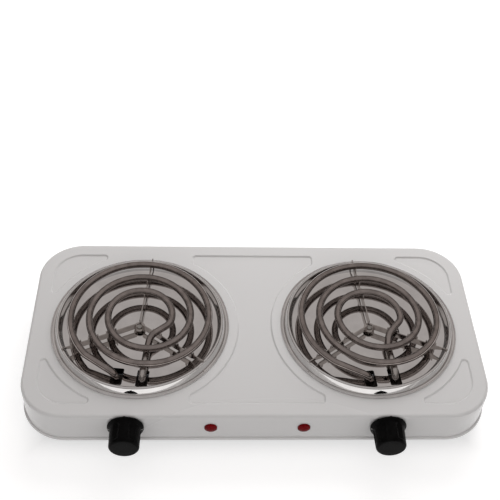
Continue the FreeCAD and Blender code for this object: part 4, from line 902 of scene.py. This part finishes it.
def add_floor():
    """Pale floor that glows for the camera and in polished metal but lights nothing."""
    deselect()
    bpy.ops.mesh.primitive_plane_add(size=FLOOR_SIZE, location=(0, 0, 0))
    floor = bpy.context.object
    floor.name = "stage_floor"
    finish = Finish("pale_floor")
    finish.tint(colours().floor, amount=0.004, source=finish.noise(scale=3, detail=2))
    finish.set(Roughness=0.9, Emission_Color=(1, 1, 1))
    light_path = finish.add("ShaderNodeLightPath")
    seen = light_path.outputs["Is Camera Ray"]
    for ray in ("Is Glossy Ray", "Is Transmission Ray"):
        seen = finish.calculate("MAXIMUM", seen, light_path.outputs[ray])
    # Right under the body the floor stays in its shadow
    spot = finish.add("ShaderNodeSeparateXYZ")
    finish.link(finish.place, spot.inputs[0])
    clear = []
    for axis, reach in SHADOW_REACH:
        across = finish.add("ShaderNodeMath", operation="ABSOLUTE")
        finish.link(spot.outputs[axis], across.inputs[0])
        fade = finish.add("ShaderNodeMapRange", interpolation_type="SMOOTHSTEP")
        fade.inputs["From Min"].default_value = reach - SHADOW_INSIDE
        fade.inputs["From Max"].default_value = reach + SHADOW_OUTSIDE
        finish.link(across.outputs[0], fade.inputs["Value"])
        clear.append(fade.outputs[0])
    beside = finish.calculate("MAXIMUM", clear[0], clear[1])
    shown = finish.add("ShaderNodeMath", operation="MULTIPLY")
    shown.inputs[1].default_value = FLOOR_GLOW
    finish.link(finish.calculate("MULTIPLY", seen, beside), shown.inputs[0])
    finish.link(shown.outputs[0], finish.shader.inputs["Emission Strength"])
    floor.data.materials.append(finish.material)


def add_sky(scene):
    """Sky by height: bright at the horizon, a dark band over it and brownish grey above."""
    world = bpy.data.worlds.new("soft_studio")
    scene.world = world
    world.use_nodes = True
    tree = world.node_tree
    tree.nodes.clear()
    output = tree.nodes.new("ShaderNodeOutputWorld")
    sky = tree.nodes.new("ShaderNodeBackground")
    direction = tree.nodes.new("ShaderNodeTexCoord")
    split = tree.nodes.new("ShaderNodeSeparateXYZ")
    height = tree.nodes.new("ShaderNodeValToRGB")
    stops = height.color_ramp.elements
    for stop, (spot, tone) in zip(stops, (SKY[0], SKY[-1])):
        stop.position = spot
        stop.color = (*tone, 1)
    for spot, tone in SKY[1:-1]:
        stops.new(spot).color = (*tone, 1)
    tree.links.new(direction.outputs["Generated"], split.inputs[0])
    tree.links.new(split.outputs["Z"], height.inputs[0])
    tree.links.new(height.outputs[0], sky.inputs["Color"])
    tree.links.new(sky.outputs[0], output.inputs[0])


def add_softbox(name, place, extent, energy):
    """Large soft lamp that polished metal doesn't show."""
    turn = (Vector(LAMP_TARGET) - Vector(place)).to_track_quat("-Z", "Y").to_euler()
    deselect()
    bpy.ops.object.light_add(type="AREA", location=place, rotation=turn)
    lamp = bpy.context.object
    lamp.name = name
    lamp.data.shape = "RECTANGLE"
    lamp.data.size = extent[0]
    lamp.data.size_y = extent[1]
    lamp.data.energy = energy
    lamp.visible_glossy = False


def add_camera(scene):
    """Camera at the photograph's place, turn and focal length."""
    flat = math.cos(CAMERA_PITCH)
    forward = Vector((math.sin(CAMERA_YAW) * flat, math.cos(CAMERA_YAW) * flat, -math.sin(CAMERA_PITCH)))
    level = Vector((math.cos(CAMERA_YAW), -math.sin(CAMERA_YAW), 0))
    down = forward.cross(level)
    right = math.cos(CAMERA_ROLL) * level + math.sin(CAMERA_ROLL) * down
    below = math.cos(CAMERA_ROLL) * down - math.sin(CAMERA_ROLL) * level
    deselect()
    bpy.ops.object.camera_add()
    camera = bpy.context.object
    camera.name = "photo_camera"
    camera.data.sensor_width = CAMERA_SENSOR
    camera.data.lens = CAMERA_SENSOR * FOCAL_PIXELS / PHOTO_PIXELS
    camera.data.clip_start = 0.01
    turn = Matrix((right, -below, -forward)).transposed().to_4x4()
    camera.matrix_world = Matrix.Translation(CAMERA_PLACE) @ turn
    scene.camera = camera


class HOTPLATE_OT_stage(bpy.types.Operator):
    """Set the pale floor, the soft light and the camera at the photograph's angle"""
    bl_idname = "hot_plate.stage"
    bl_label = "Stage"

    def execute(self, context):
        add_floor()
        add_sky(context.scene)
        for name, place, extent, energy in LAMPS:
            add_softbox(name, place, extent, energy)
        add_camera(context.scene)
        context.scene.view_settings.view_transform = "Standard"
        return {"FINISHED"}


class HOTPLATE_PT_panel(bpy.types.Panel):
    """Sizes, colours and steps of the hot plate"""
    bl_idname = "HOTPLATE_PT_panel"
    bl_label = "Hot Plate"
    bl_space_type = "VIEW_3D"
    bl_region_type = "UI"
    bl_category = "Hot Plate"

    def draw(self, context):
        column = self.layout.column()
        for group in (context.scene.hot_plate_sizes, context.scene.hot_plate_colours):
            for key in group.__annotations__:
                column.prop(group, key)
        for operator in OPERATORS:
            column.operator(operator.bl_idname)


OPERATORS = (
    HOTPLATE_OT_finishes,
    HOTPLATE_OT_drip_pans,
    HOTPLATE_OT_heating_tubes,
    HOTPLATE_OT_knobs,
    HOTPLATE_OT_stage,
)
CLASSES = (HotPlateSizes, HotPlateColours) + OPERATORS + (HOTPLATE_PT_panel,)


def register():
    """Add the classes and the scene's settings."""
    for item in CLASSES:
        bpy.utils.register_class(item)
    bpy.types.Scene.hot_plate_sizes = PointerProperty(type=HotPlateSizes)
    bpy.types.Scene.hot_plate_colours = PointerProperty(type=HotPlateColours)


def unregister():
    """Remove the scene's settings and the classes."""
    del bpy.types.Scene.hot_plate_colours
    del bpy.types.Scene.hot_plate_sizes
    for item in reversed(CLASSES):
        bpy.utils.unregister_class(item)


def main():
    """Build every piece in order."""
    register()
    bpy.ops.hot_plate.finishes()
    bpy.ops.hot_plate.drip_pans()
    bpy.ops.hot_plate.heating_tubes()
    bpy.ops.hot_plate.knobs()
    bpy.ops.hot_plate.stage()


if __name__ == "__main__":
    main()
